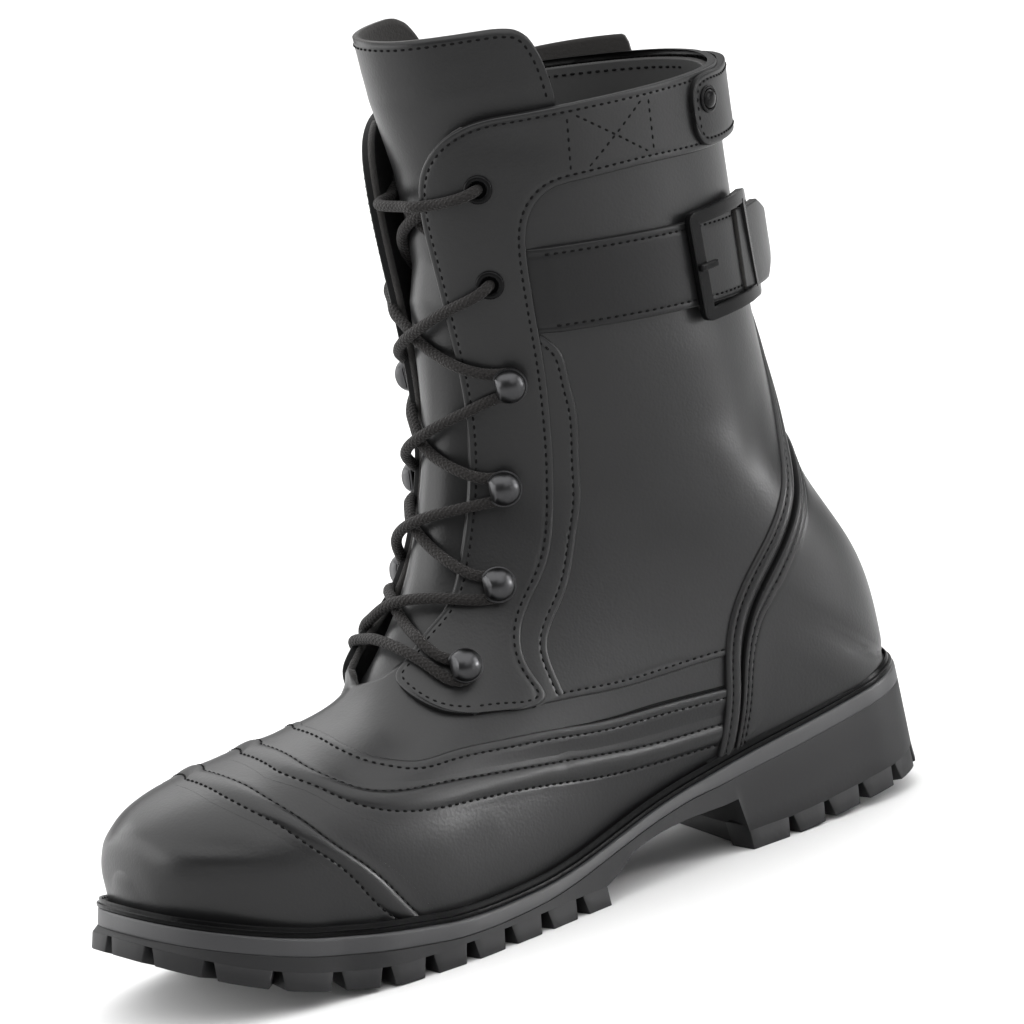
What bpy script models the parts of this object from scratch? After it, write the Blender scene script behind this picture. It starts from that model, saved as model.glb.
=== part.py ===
"""Left motorcycle boot, built on the shape of its last.

Every size is in millimetres here and the finished boot is in metres. X runs from the
back of the heel to the toe, Y to the outer side of the left foot and Z up from the floor.
"""

import math

import bmesh
import bpy
import numpy as np

MM = 0.001
GAP = 0.3

# Overall sizes of the boot
FOOT_START, FOOT_END = 5.7, 289.4
HEEL_ROUND, TOE_ROUND, ROUND_POWER = 30.0, 243.0, 2.25
UPPER_WALL = 2.2
OVERLAY = 1.6
INSOLE_THICK = 3.0
BAND_THICK = 6.5
WELT_WIDE, WELT_THICK = 5.2, 3.0
BAND_MARGIN = 6.4
SOLE_MARGIN, SOLE_FLARE = 5.6, 2.6
BASE_THICK = 5.0
HEEL_SHARE, TOE_SHARE = 0.62, 0.8
TOE_PUSH = 4.0
HEEL_BREAST = 77.0
TREAD_START = 143.0
ROCKER_START, TOE_SPRING = 215.0, 27.0
HEEL_BEVEL = 4.0
LUG_DEPTH, LUG_GAP, LUG_GAP_TOP = 8.5, 5.2, 3.4
TREAD_REACH, HEEL_REACH = 20.0, 14.0
TREAD_PITCH, HEEL_PITCH = 14.6, 12.2
LACE_RADIUS, LACE_LIFT, LACE_SINK, LACE_EDGE = 2.1, 4.4, 0.1, 0.16
CENTRE_X, CENTRE_Y = 150.7, 0.6

# Plan of the edge where the upper meets the sole: x, outer and inner half width
PLAN = (
    (30, 28.6, 28.6),
    (60, 30.2, 29.2),
    (90, 31, 28),
    (120, 33.2, 27.2),
    (150, 38, 30),
    (180, 43.5, 37),
    (205, 46.6, 43),
    (225, 46.6, 45.5),
    (243, 43.5, 45),
)

# Height of the sole's top along the foot: x, z
SEAT = (
    (-4, 45.5),
    (20, 44.6),
    (54, 40.4),
    (80, 34.2),
    (100, 29.6),
    (121, 25.2),
    (140, 20.6),
    (165, 16.6),
    (190, 15.6),
    (211, 16.8),
    (232, 19.6),
    (253, 24.6),
    (277, 34),
    (303, 47),
)

# Sections from the toe to the back of the heel, each from the top of the foot down to the
# sole's edge: top x and z, place along the sole, widest half widths outer and inner, where
# down the section it is widest, and how square its crown and seat are
FOOT = (
    (292.2, 50, 289.1, 9, 9, 0.6, 2, 2),
    (290.2, 57, 287.6, 15.5, 16.5, 0.6, 2, 2),
    (286.5, 62.6, 283, 24, 25.5, 0.6, 2.1, 2),
    (278.5, 67.6, 275.5, 32.5, 34.5, 0.62, 2.2, 2),
    (265, 71.4, 262.5, 40.5, 42.5, 0.63, 2.25, 2),
    (247, 73.6, 244.5, 45.4, 46.8, 0.64, 2.3, 2),
    (226, 76, 224, 48, 47, 0.66, 2.25, 2),
    (209, 78.6, 205, 48.2, 44.8, 0.66, 2.15, 2),
    (198, 82.6, 186, 46.6, 41.5, 0.66, 2.1, 2),
    (189.5, 89.6, 160, 43.4, 37.3, 0.64, 2.05, 2),
    (180.5, 99.5, 130, 40, 35.2, 0.6, 2, 2),
    (171.5, 112, 97, 38, 34.6, 0.58, 2, 2.1),
    (165, 126, 62, 37.3, 35.4, 0.55, 2, 2.2),
    (160, 139, 30, 37.4, 36.2, 0.53, 2, 2.3),
    (156, 152, 5.7, 38, 37.2, 0.52, 2, 2.4),
)

# Sections of the shaft, from the heel up to the collar and on to the top of the tongue
SHAFT = (
    (153, 165, 6.4, 62, 39, 38.4, 0.52, 2, 2.4),
    (151.2, 178, 10.8, 82, 39.6, 39.2, 0.52, 2, 2.3),
    (150, 192, 21.3, 104, 40.2, 40, 0.52, 2, 2.2),
    (149.7, 206, 27.6, 128, 41, 40.8, 0.52, 2, 2.1),
    (149.8, 221, 29.8, 168, 42.2, 42, 0.52, 2, 2),
    (149.6, 238, 29.6, 212, 43.2, 43, 0.52, 2, 2),
    (148.6, 257.5, 27.3, 253.5, 44, 44, 0.52, 2, 2),
    (149, 274, 25, 276, 43.6, 43.6, 0.52, 2, 2),
    (150.2, 291, 23, 298, 43, 43, 0.52, 2, 2),
)
COLLAR_ROW = len(FOOT) + 6

# Half width of the throat at each height
THROAT = (
    (90, 10), (94, 16), (99, 20), (110, 21.5), (118, 21), (142, 19.6), (158, 19.2), (188, 18.6), (214, 18),
    (234, 18), (245, 20), (251, 24.5), (256, 32),
)

# Edge of the eyestay and cuff seen from the side: x, z
EYESTAY = (
    (203, 94), (195, 86.5), (191.4, 81), (185, 76), (173.4, 71.8), (152.4, 69), (148.4, 70.2), (149.6, 77),
    (151, 85.6), (149.8, 90.4), (142, 101.6), (135.2, 109.6), (129, 122), (126, 133.6), (124, 150),
    (122.8, 169.6), (122.8, 199.6), (122.4, 213), (121, 220.6), (117.8, 226.6), (113.4, 229.8), (103.4, 231),
    (81, 230.6), (54, 229), (10, 227.6), (10, 270), (175, 270), (170, 180), (180, 140), (203, 112),
)

# What is cut off above the top edge of the tongue, seen from the side: x, z
TONGUE_TOP = ((60, 255), (96, 268), (103, 277), (116, 281.6), (140, 285), (190, 288), (190, 330), (60, 330))

# Raised seams seen from the side: middle line x, z
TOE_SEAM = (
    (207, 4), (217, 18), (224, 29), (232, 41), (242, 50.6), (248.6, 59), (255.6, 67), (257, 74), (257, 90),
)
VAMP_SEAM = (
    (91, 40.2), (110, 41.2), (134, 44), (156, 47.8), (181, 51.4), (201, 53.6), (214, 57.6), (223, 63),
    (233, 70), (233.6, 77), (233.6, 92),
)
HEEL_SEAM = (
    (87, 20), (83, 36), (79.4, 50), (75.6, 69.6), (67.4, 84.4), (56, 97), (45, 111), (36, 127), (30, 150),
    (26, 172),
)
SEAM_WIDE, SEAM_RISE = 8.0, 2.2

# Counter seen from the side, with the front edge that the heel seam stops at
COUNTER = (
    (-20, 20), (81, 20), (77, 36), (74, 49), (70, 66), (62, 80), (51, 92.4), (40, 106), (34, 116), (26, 126),
    (-20, 126),
)

# Ankle strap and its buckle, seen from the side
STRAP_FRONT, STRAP_BACK = (122.2, 199.0), (68.0, 194.4)
STRAP_WIDE, STRAP_THICK = 28.0, 2.2
BUCKLE_X, BUCKLE_WIDE, BUCKLE_TALL, BUCKLE_BAR = 52.5, 33.0, 36.0, 4.2
END_LONG, END_LIFT = 24.0, 0.14
TAB_FRONT, TAB_LOW, TAB_HIGH = 56.5, 229.0, 252.5

# Lace holders seen from the side, from the top: kind, x, z
HOLDERS = (
    ("eyelet", 132.4, 235),
    ("eyelet", 133.6, 204),
    ("hook", 132.6, 169.6),
    ("hook", 139, 137),
    ("hook", 149.6, 107.4),
    ("hook", 169.6, 86.2),
)

COLOURS = {
    "black_leather": (0.035, 0.035, 0.038, 0.45, 0.0),
    "band_rubber": (0.10, 0.10, 0.105, 0.5, 0.0),
    "sole_rubber": (0.045, 0.045, 0.047, 0.7, 0.0),
    "welt": (0.02, 0.02, 0.021, 0.35, 0.0),
    "insole_cloth": (0.06, 0.055, 0.05, 0.9, 0.0),
    "gunmetal": (0.12, 0.12, 0.125, 0.35, 1.0),
    "black_metal": (0.03, 0.03, 0.032, 0.4, 1.0),
    "lace_cord": (0.04, 0.04, 0.043, 0.85, 0.0),
}


def glide(places, values, at):
    """Smooth curve through a table that never passes beyond its own values."""
    places, values, at = (np.asarray(v, float) for v in (places, values, at))
    step = np.diff(places)
    slope = np.diff(values) / step
    lean = np.zeros(len(values))
    for k in range(1, len(values) - 1):
        if slope[k - 1] * slope[k] > 0:
            a, b = 2 * step[k] + step[k - 1], step[k] + 2 * step[k - 1]
            lean[k] = (a + b) / (a / slope[k - 1] + b / slope[k])
    lean[0], lean[-1] = slope[0], slope[-1]
    k = np.clip(np.searchsorted(places, at, side="right") - 1, 0, len(values) - 2)
    u = (at - places[k]) / step[k]
    rise = (1 + 2 * u) * (1 - u) ** 2 * values[k] + u * u * (3 - 2 * u) * values[k + 1]
    return rise + step[k] * (u * (1 - u) ** 2 * lean[k] - u * u * (1 - u) * lean[k + 1])


def smooth(values, at):
    """Curve of even bending through one value per section."""
    values = np.asarray(values, float)
    count = len(values)
    system, load_side = np.eye(count), np.zeros(count)
    for k in range(1, count - 1):
        system[k, k - 1 : k + 2] = 1, 4, 1
        load_side[k] = 6 * (values[k + 1] - 2 * values[k] + values[k - 1])
    bend = np.linalg.solve(system, load_side)
    k = np.clip(np.floor(at).astype(int), 0, count - 2)
    b = at - k
    a = 1 - b
    return a * values[k] + b * values[k + 1] + ((a**3 - a) * bend[k] + (b**3 - b) * bend[k + 1]) / 6


def seat_z(x):
    return glide([r[0] for r in SEAT], [r[1] for r in SEAT], x)


def floor_z(x):
    """Underside of the tread: flat, with the toe sprung up and the heel's back edge eased."""
    toe = np.clip((np.asarray(x, float) - ROCKER_START) / (303 - ROCKER_START), 0, None)
    heel = np.clip((30 - np.asarray(x, float)) / 32, 0, None)
    return TOE_SPRING * toe**2 + HEEL_BEVEL * heel**2


def half_width(x, side):
    """Half width of the upper's lower edge at x; side is 1 on the outer side and 2 on the inner."""
    table = [row[0] for row in PLAN], [row[side] for row in PLAN]
    x = np.clip(np.asarray(x, float), FOOT_START, FOOT_END)
    wide = glide(*table, np.clip(x, HEEL_ROUND, TOE_ROUND))
    back = np.clip((HEEL_ROUND - x) / (HEEL_ROUND - FOOT_START), 0, 1)
    front = np.clip((x - TOE_ROUND) / (FOOT_END - TOE_ROUND), 0, 1)
    return wide * ((1 - back**ROUND_POWER) * (1 - front**ROUND_POWER)) ** (1 / ROUND_POWER)


def last(t, s):
    """Point of the upper's outside: t counts sections from the toe, s runs from the inner
    edge at -1 over the top at 0 to the outer edge at 1."""
    t, s = np.broadcast_arrays(np.asarray(t, float), np.asarray(s, float))
    count = len(FOOT)
    both = [row[:2] + row[3:] for row in FOOT] + [row[:2] + row[4:] for row in SHAFT]
    top_x, top_z, outer, inner, widest, crown, seat = (
        smooth([row[k] for row in both], t) for k in range(7)
    )
    on_sole = np.clip(t, 0, count - 1)
    edge_x = glide(range(count), [row[2] for row in FOOT], on_sole)
    up = np.clip(t - (count - 1), 0, None)
    low_x = np.where(up > 0, smooth([FOOT[-1][2]] + [row[2] for row in SHAFT], up), edge_x)
    back_z = smooth([float(seat_z(FOOT[-1][2]))] + [row[3] for row in SHAFT], up)
    low_z = np.where(up > 0, back_z, seat_z(edge_x))
    wide = np.where(s > 0, outer, inner)
    foot = np.where(up > 0, 0, np.where(s > 0, half_width(edge_x, 1), half_width(edge_x, 2)))
    foot = np.where(t >= count - 1, 0, foot)
    angle = np.abs(s) * math.pi
    above = np.minimum(angle, math.pi / 2)
    below = np.clip(angle - math.pi / 2, 0, math.pi / 2)
    round_off = 1 - foot / wide
    down = widest * (1 - np.cos(above).clip(0) ** (2 / crown))
    drop = (1 - round_off) * below / (math.pi / 2) + round_off * np.sin(below) ** (2 / seat)
    down = down + (1 - widest) * drop
    across = np.where(
        angle <= math.pi / 2,
        wide * np.sin(above) ** (2 / crown),
        foot + (wide - foot) * np.cos(below).clip(0) ** (2 / seat),
    )
    return np.stack(
        [top_x + (low_x - top_x) * down, np.sign(s) * across, top_z + (low_z + 1.5 * GAP - top_z) * down], -1
    )


def normal(t, s):
    """Outward direction of the last at one place."""
    along = last(t + 0.02, s) - last(t - 0.02, s)
    around = last(t, s + 0.004) - last(t, s - 0.004)
    way = np.cross(around, along)
    return way / np.linalg.norm(way, axis=-1, keepdims=True)


def find(x, z, side=1):
    """The t and s at which the outer side shows x and z from the side; side -1 is the inner side."""
    rows, columns = np.linspace(6, len(FOOT) + 8, 400), np.linspace(0.06, 0.94, 330)
    t, s = np.meshgrid(rows, columns, indexing="ij")
    points = last(t, s * side)
    near = np.argmin((points[..., 0] - x) ** 2 + (points[..., 2] - z) ** 2)
    return t.flat[near], s.flat[near] * side


def lattice():
    """Sections and columns shared by the upper and everything cut from its shape."""
    rows = [0, 0.6, 1.2, 1.8, 2.4, 3, 3.8, 4.6, 5.5, 6.4, 7.2, 8, 8.8, 9.6, 10.6, 11.6, 12.4, 13]
    rows += [13.4, 13.7, 13.9, 14, 14.5, 15, 15.8, 16.8, 17.8, 19.4, 21, 22, 23]
    return np.array(rows), np.linspace(-1, 1, 21)


def row_at(t):
    """Number of the lattice row nearest to a section."""
    return int(np.argmin(np.abs(lattice()[0] - t)))


def sheet_of(index):
    """Faces over a grid of point numbers, dropping corners that are the same point."""
    faces = []
    for i in range(len(index) - 1):
        for j in range(index.shape[1] - 1):
            a, d, b, c = (int(v) for v in index[i : i + 2, j : j + 2].flat)
            turns = ([a, b, c], [a, c, d]) if j < index.shape[1] // 2 else ([a, b, d], [b, c, d])
            faces += [turn for turn in turns if len(set(turn)) == 3]
    return faces


def toe_faces(index):
    """Faces that close the first section across the tip of the toe."""
    middle = index.shape[1] // 2
    faces = []
    for j in range(middle):
        corners = [index[0, middle + k] for k in (j, j + 1, -j - 1, -j)]
        faces.append(list(dict.fromkeys(int(v) for v in corners)))
    return faces


def last_net():
    """Point numbers, points and outward directions of the whole lattice."""
    rows, columns = lattice()
    points = last(*np.meshgrid(rows, columns, indexing="ij")).reshape(-1, 3)
    index = np.arange(len(points)).reshape(len(rows), len(columns))
    closed = rows >= len(FOOT) - 1
    index[closed, 0] = index[closed, -1]
    out = np.zeros_like(points)
    for face in sheet_of(index) + toe_faces(index):
        a, b, c = (points[face[k]] for k in (0, 1, -1))
        out[face] += np.cross(c - a, b - a)
    out[np.concatenate([index[~closed, 0], index[~closed, -1]]), 2] = 0
    return index, points, out / np.maximum(np.linalg.norm(out, axis=1, keepdims=True), 1e-9)


def material(name):
    if name not in bpy.data.materials:
        red, green, blue, rough, metal = COLOURS[name]
        made = bpy.data.materials.new(name)
        made.use_nodes = True
        shader = made.node_tree.nodes["Principled BSDF"]
        shader.inputs["Base Color"].default_value = (red, green, blue, 1)
        shader.inputs["Roughness"].default_value = rough
        shader.inputs["Metallic"].default_value = metal
    return bpy.data.materials[name]


def solid(name, points, faces, paint=None):
    """One mesh object in metres, facing out; without a paint it is a cutter."""
    mesh = bpy.data.meshes.new(name)
    shift = np.array([CENTRE_X, CENTRE_Y, 0])
    mesh.from_pydata(((np.asarray(points, float) - shift) * MM).tolist(), [], faces)
    work = bmesh.new()
    work.from_mesh(mesh)
    bmesh.ops.remove_doubles(work, verts=work.verts, dist=1e-6)
    bmesh.ops.recalc_face_normals(work, faces=work.faces)
    work.to_mesh(mesh)
    work.free()
    made = bpy.data.objects.new(name, mesh)
    bpy.context.scene.collection.objects.link(made)
    if paint:
        mesh.materials.append(material(paint))
    else:
        made.hide_render = True
        made.display_type = "WIRE"
    return made


def cut(target, cutter, operation):
    change = target.modifiers.new(cutter.name, "BOOLEAN")
    change.operation = operation
    change.solver = "EXACT"
    change.object = cutter


def shell(low, high, first=0, end=None, left=0, right=None):
    """Wall between two heights over the last, on part of the lattice."""
    index, points, out = last_net()
    used = index[first:end, left:right]
    sheet = sheet_of(used) + (toe_faces(index) if first == 0 else [])
    count = {}
    for face in sheet:
        for a, b in zip(face, face[1:] + face[:1]):
            count[frozenset((a, b))] = count.get(frozenset((a, b)), 0) + 1
    total = len(points)
    rim = [
        [a, b, b + total, a + total]
        for face in sheet
        for a, b in zip(face, face[1:] + face[:1])
        if count[frozenset((a, b))] == 1
    ]
    body = np.concatenate([points + out * high, points + out * low])
    faces = sheet + [[v + total for v in reversed(face)] for face in sheet] + rim
    keep = sorted({v for face in faces for v in face})
    place = {v: k for k, v in enumerate(keep)}
    return body[keep], [[place[v] for v in face] for face in faces]


def prism(name, outline, axis, start, stop):
    """Cutter: an outline drawn in the other two directions, run along one axis."""
    count = len(outline)
    points = [np.insert(np.asarray(p, float), axis, end) for end in (start, stop) for p in outline]
    faces = [list(range(count)), list(range(count, 2 * count))]
    faces += [[k, (k + 1) % count, count + (k + 1) % count, count + k] for k in range(count)]
    return solid(name, points, faces)


def band(line, wide):
    """Outline of a strip along a line."""
    line = np.asarray(line, float)
    way = np.gradient(line, axis=0)
    side = np.stack([-way[:, 1], way[:, 0]], -1) / np.linalg.norm(way, axis=1, keepdims=True)
    return np.concatenate([line + side * wide / 2, (line - side * wide / 2)[::-1]])


def edges(margin, start=None, stop=None, count=26, push=0.0, even=False):
    """Outer and inner edge of the sole's plan, a margin outside the upper, from toe to heel;
    push carries the toe end forward, as the sole's thickness is square to its sprung toe."""
    turn = np.linspace(0, math.pi, 241)
    x = (FOOT_START + FOOT_END) / 2 + (FOOT_END - FOOT_START) / 2 * np.cos(turn)
    share = np.interp(x, (20, 130, 230, FOOT_END), (1, 1, 1, 1) if even else (HEEL_SHARE, 1, 1, TOE_SHARE))
    sides = []
    for side, sign in ((1, 1), (2, -1)):
        line = np.stack([x, sign * half_width(x, side)], -1)
        way = np.gradient(line, axis=0)
        way[0], way[-1] = (0, sign), (0, -sign)
        out = np.stack([way[:, 1], -way[:, 0]], -1) * sign
        line = line + (margin * share)[:, None] * out / np.linalg.norm(out, axis=1, keepdims=True)
        line[:, 0] += push * (np.clip(line[:, 0] - ROCKER_START, 0, None) / (FOOT_END - ROCKER_START)) ** 2
        high = line[0, 0] if stop is None else stop
        low = line[-1, 0] if start is None else start
        lead = np.linspace(0, 1, count)
        if start is None and stop is None:
            lead = (1 - np.cos(lead * math.pi)) / 2
        elif stop is None:
            lead = 1 - np.cos(lead * math.pi / 2)
        else:
            lead = np.sin(lead * math.pi / 2)
        at = high + (low - high) * lead
        sides.append(np.stack([at, np.interp(-at, -line[:, 0], line[:, 1])], -1))
    return sides


def slab(top_edges, low_edges, top, low):
    """Solid between two plan outlines whose heights follow x."""
    loops = []
    for (outer, inner), height in ((top_edges, top), (low_edges, low)):
        loops.append([np.column_stack([side, height(side[:, 0])]) for side in (outer, inner)])
    count = len(top_edges[0])
    points = np.concatenate([loops[0][0], loops[0][1], loops[1][0], loops[1][1]])
    faces = []
    for k in range(count - 1):
        a, b = k, k + 1
        faces.append([a, b, count + b, count + a])
        faces.append([2 * count + a, 3 * count + a, 3 * count + b, 2 * count + b])
        faces.append([a, 2 * count + a, 2 * count + b, b])
        faces.append([count + a, count + b, 3 * count + b, 3 * count + a])
    for a in (0, count - 1):
        faces.append([a, count + a, 3 * count + a, 2 * count + a])
    return points, faces


def grooves():
    """Cutters for the gaps between the lugs, square to the edge of the sole."""
    points, faces = [], []
    for start, stop, pitch, reach in (
        (TREAD_START, None, TREAD_PITCH, TREAD_REACH),
        (None, HEEL_BREAST, HEEL_PITCH, HEEL_REACH),
    ):
        outer, inner = edges(SOLE_MARGIN + SOLE_FLARE, start, stop, 80, TOE_PUSH)
        line = np.concatenate([outer[::-1], inner[1:]]) if start else np.concatenate([outer, inner[-2::-1]])
        run = np.concatenate([[0], np.cumsum(np.linalg.norm(np.diff(line, axis=0), axis=1))])
        count = round((run[-1] - 2 * pitch * 0.8) / pitch)
        for place in np.linspace(pitch * 0.8, run[-1] - pitch * 0.8, count + 1):
            spot, ahead = (np.array([np.interp(place + d, run, line[:, k]) for k in (0, 1)]) for d in (-1, 1))
            way = (ahead - spot) / np.linalg.norm(ahead - spot)
            spot = (spot + ahead) / 2
            into = np.array([way[1], -way[0]])
            into = into if into @ (np.array([np.clip(spot[0], 45, 250), 0]) - spot) > 0 else -into
            at = len(points)
            for depth in (-6, reach):
                for height, wide in ((-6, LUG_GAP), (LUG_DEPTH, LUG_GAP_TOP)):
                    for hand in (-1, 1):
                        flat = spot + into * depth + way * hand * wide / 2
                        points.append([*flat, float(floor_z(flat[0])) + height])
            faces += [[at + v for v in f] for f in ((0, 1, 3, 2), (4, 6, 7, 5), (0, 4, 5, 1), (2, 3, 7, 6))]
            faces += [[at + v for v in f] for f in ((0, 2, 6, 4), (1, 5, 7, 3))]
    return solid("lug_gaps", points, faces)


def sole():
    top = lambda x: seat_z(x)
    band_low = lambda x: seat_z(x) - BAND_THICK
    body_top = lambda x: seat_z(x) - BAND_THICK - GAP
    body_low = lambda x: seat_z(x) - BAND_THICK - GAP - BASE_THICK
    inside = lambda x: seat_z(x) - BAND_THICK - GAP - BASE_THICK / 2
    foot = edges(BAND_MARGIN + 0.6, push=TOE_PUSH * 0.3)
    solid("midsole", *slab(edges(BAND_MARGIN), foot, top, band_low), "band_rubber")
    rim = edges(SOLE_MARGIN, push=TOE_PUSH * 0.3), edges(SOLE_MARGIN + 0.5, push=TOE_PUSH * 0.5)
    base = solid("outsole", *slab(*rim, body_top, body_low), "sole_rubber")
    for name, start, stop in (("heel_block", None, HEEL_BREAST), ("tread_block", TREAD_START, None)):
        high = edges(SOLE_MARGIN + 0.2, start, stop, push=TOE_PUSH * 0.4)
        low = edges(SOLE_MARGIN + SOLE_FLARE, start, stop, push=TOE_PUSH)
        block = solid(name, *slab(high, low, inside, floor_z))
        cut(base, block, "UNION")
    cut(base, grooves(), "DIFFERENCE")


def insole_and_welt():
    top = lambda x: seat_z(x) + GAP + INSOLE_THICK
    low = lambda x: seat_z(x) + GAP
    inside = edges(-UPPER_WALL - 1.6, even=True)
    solid("insole", *slab(inside, inside, top, low), "insole_cloth")
    plans = edges(WELT_WIDE, push=0.6), edges(1.7, push=1.4)
    rings = [np.concatenate([outer, inner[-2:0:-1]]) for outer, inner in plans]
    rise = [GAP + WELT_THICK, GAP]
    points = [[*p, float(seat_z(p[0])) + h] for h in rise for ring in rings for p in ring]
    count = len(rings[0])
    faces = []
    for k in range(count):
        a, b = k, (k + 1) % count
        faces += [[a, b, count + b, count + a], [2 * count + a, 3 * count + a, 3 * count + b, 2 * count + b]]
        faces += [[a, 2 * count + a, 2 * count + b, b], [count + a, count + b, 3 * count + b, 3 * count + a]]
    solid("welt", points, faces, "welt")


def throat(name, low):
    """Cutter for the slit down the front, from a lowest height up."""
    rows = [row for row in THROAT if row[0] >= low]
    if rows[0][0] > low:
        rows = [(low, 20)] + [row for row in THROAT if row[0] >= 100]
    rows = rows + [(300, 40)]
    outline = [(half, z) for z, half in rows] + [(-half, z) for z, half in reversed(rows)]
    return prism(name, outline, 0, 100, 240)


def upper_and_tongue():
    collar = row_at(COLLAR_ROW) + 1
    middle = len(lattice()[1]) // 2
    upper = solid("upper", *shell(-UPPER_WALL, 0, 0, collar), "black_leather")
    cut(upper, throat("throat_cut", 90), "DIFFERENCE")
    lining = UPPER_WALL + 0.4
    tongue = solid(
        "tongue",
        *shell(-lining - 2, -lining, row_at(7.8), None, middle - 4, middle + 5),
        "black_leather",
    )
    cut(tongue, prism("tongue_top", TONGUE_TOP, 1, -90, 90), "DIFFERENCE")
    return collar


def overlays(collar):
    """Leather laid over the upper, cut from its own shape."""
    slit = throat("facing_gap", 60)
    low, high = GAP, GAP + OVERLAY
    for name, side in (("eyestay_outer", 1), ("eyestay_inner", -1)):
        points, faces = shell(low, high, row_at(7.2), collar)
        piece = solid(name, points, faces, "black_leather")
        reach = (0.4, 90) if side > 0 else (-90, -0.4)
        cut(piece, prism(name + "_edge", EYESTAY, 1, *reach), "INTERSECT")
        cut(piece, slit, "DIFFERENCE")
    for name, line in (("toe_seam", TOE_SEAM), ("vamp_seam", VAMP_SEAM), ("heel_seam", HEEL_SEAM)):
        first, end = {"toe_seam": (3, 9), "vamp_seam": (4, 13), "heel_seam": (10, 20)}[name]
        piece = solid(name, *shell(low, GAP + SEAM_RISE, row_at(first), row_at(end) + 1), "black_leather")
        cut(piece, prism(name + "_edge", band(line, SEAM_WIDE), 1, -90, 90), "INTERSECT")
    counter = solid("counter", *shell(low, high, row_at(10.4), row_at(19.4) + 1), "black_leather")
    cut(counter, prism("counter_edge", COUNTER, 1, -90, 90), "INTERSECT")
    over_welt = [(x, float(seat_z(x)) + WELT_THICK + 2.4 * GAP) for x in range(340, -41, -6)]
    clear = prism("welt_room", [(-40, -20), (340, -20)] + over_welt, 1, -90, 90)
    for name in ("toe_seam", "vamp_seam", "heel_seam", "counter"):
        cut(bpy.data.objects[name], clear, "DIFFERENCE")
    tab = solid("back_tab", *shell(high + GAP, high + GAP + OVERLAY, row_at(16.2), collar), "black_leather")
    around = [(0, TAB_LOW), (TAB_FRONT - 3, TAB_LOW + 1), (TAB_FRONT, TAB_LOW + 6)]
    around += [(TAB_FRONT, TAB_HIGH), (0, TAB_HIGH)]
    cut(tab, prism("tab_edge", around, 1, -90, 90), "INTERSECT")


def on_net(t, s):
    """Point of the lattice's own flat faces at one place."""
    rows, columns = lattice()
    i, j = np.searchsorted(rows, t) - 1, np.searchsorted(columns, s) - 1
    u, v = (t - rows[i]) / (rows[i + 1] - rows[i]), (s - columns[j]) / (columns[j + 1] - columns[j])
    (a, b), (c, d) = last(rows[i : i + 2, None], columns[None, j : j + 2])
    return (a * (1 - v) + b * v) * (1 - u) + (c * (1 - v) + d * v) * u


def frame_at(t, s):
    """Place on the upper with its outward, upward and sideways directions."""
    spot, out = on_net(t, s), normal(t, s)
    up = np.array([0, 0, 1.0]) - out * out[2]
    up /= np.linalg.norm(up)
    return spot, out, up, np.cross(up, out)


def turned(profile, spot, out, up, side, segments=8):
    """Solid of revolution about the outward direction: profile rows are radius, height."""
    points, faces = [], []
    count = len(profile)
    for k in range(segments):
        angle = 2 * math.pi * k / segments
        way = up * math.cos(angle) + side * math.sin(angle)
        points += [spot + way * radius + out * height for radius, height in profile]
    for k in range(segments):
        a, b = k * count, (k + 1) % segments * count
        faces += [[a + j, a + (j + 1) % count, b + (j + 1) % count, b + j] for j in range(count)]
    if profile[0][0] == 0:
        faces = []
        between = [p for k, p in enumerate(points) if k % count not in (0, count - 1)]
        points = [spot + out * profile[0][1]] + between + [spot + out * profile[-1][1]]
        inner = count - 2
        for k in range(segments):
            a, b = 1 + k * inner, 1 + (k + 1) % segments * inner
            faces += [[0, a, b], [a + inner - 1, len(points) - 1, b + inner - 1]]
            faces += [[a + j, a + j + 1, b + j + 1, b + j] for j in range(inner - 1)]
    return points, faces


def holders():
    seat = 2 * GAP + OVERLAY
    hook = [(0, seat), (4.4, seat + 0.1), (4.4, seat + 0.8), (2.2, seat + 1.2), (2.2, seat + 4.6), (5.2, seat + 5.2)]
    hook += [(4.4, seat + 7.4), (2.4, seat + 8.7), (0, seat + 9.1)]
    eyelet = [(2.7, seat), (4.7, seat), (4.7, seat + 0.5), (3.7, seat + 1.3), (2.7, seat + 0.6)]
    places = {}
    for side, word in ((1, "outer"), (-1, "inner")):
        for number, (kind, x, z) in enumerate(HOLDERS):
            t, s = find(x, z, side)
            places[number, side] = (t, s)
            profile = hook if kind == "hook" else eyelet
            name = f"{kind}_{word}_{number + 1}"
            points, faces = turned(profile, *frame_at(t, s))
            solid(name, points, faces, "gunmetal" if kind == "hook" else "black_metal")
    return places


def tube(path, radius, sides=6):
    path = np.asarray(path, float)
    way = np.gradient(path, axis=0)
    way /= np.linalg.norm(way, axis=1, keepdims=True)
    points = []
    for spot, ahead in zip(path, way):
        one = np.cross(ahead, [0.3, 0.1, 1.0])
        one /= np.linalg.norm(one)
        two = np.cross(ahead, one)
        for k in range(sides):
            angle = 2 * math.pi * k / sides
            points.append(spot + radius * (one * math.cos(angle) + two * math.sin(angle)))
    ring = [(k, (k + 1) % sides, sides + (k + 1) % sides, sides + k) for k in range(sides)]
    faces = [[i * sides + v for v in corners] for i in range(len(path) - 1) for corners in ring]
    faces += [list(range(sides)), list(range(len(points) - sides, len(points)))]
    return points, faces


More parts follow.
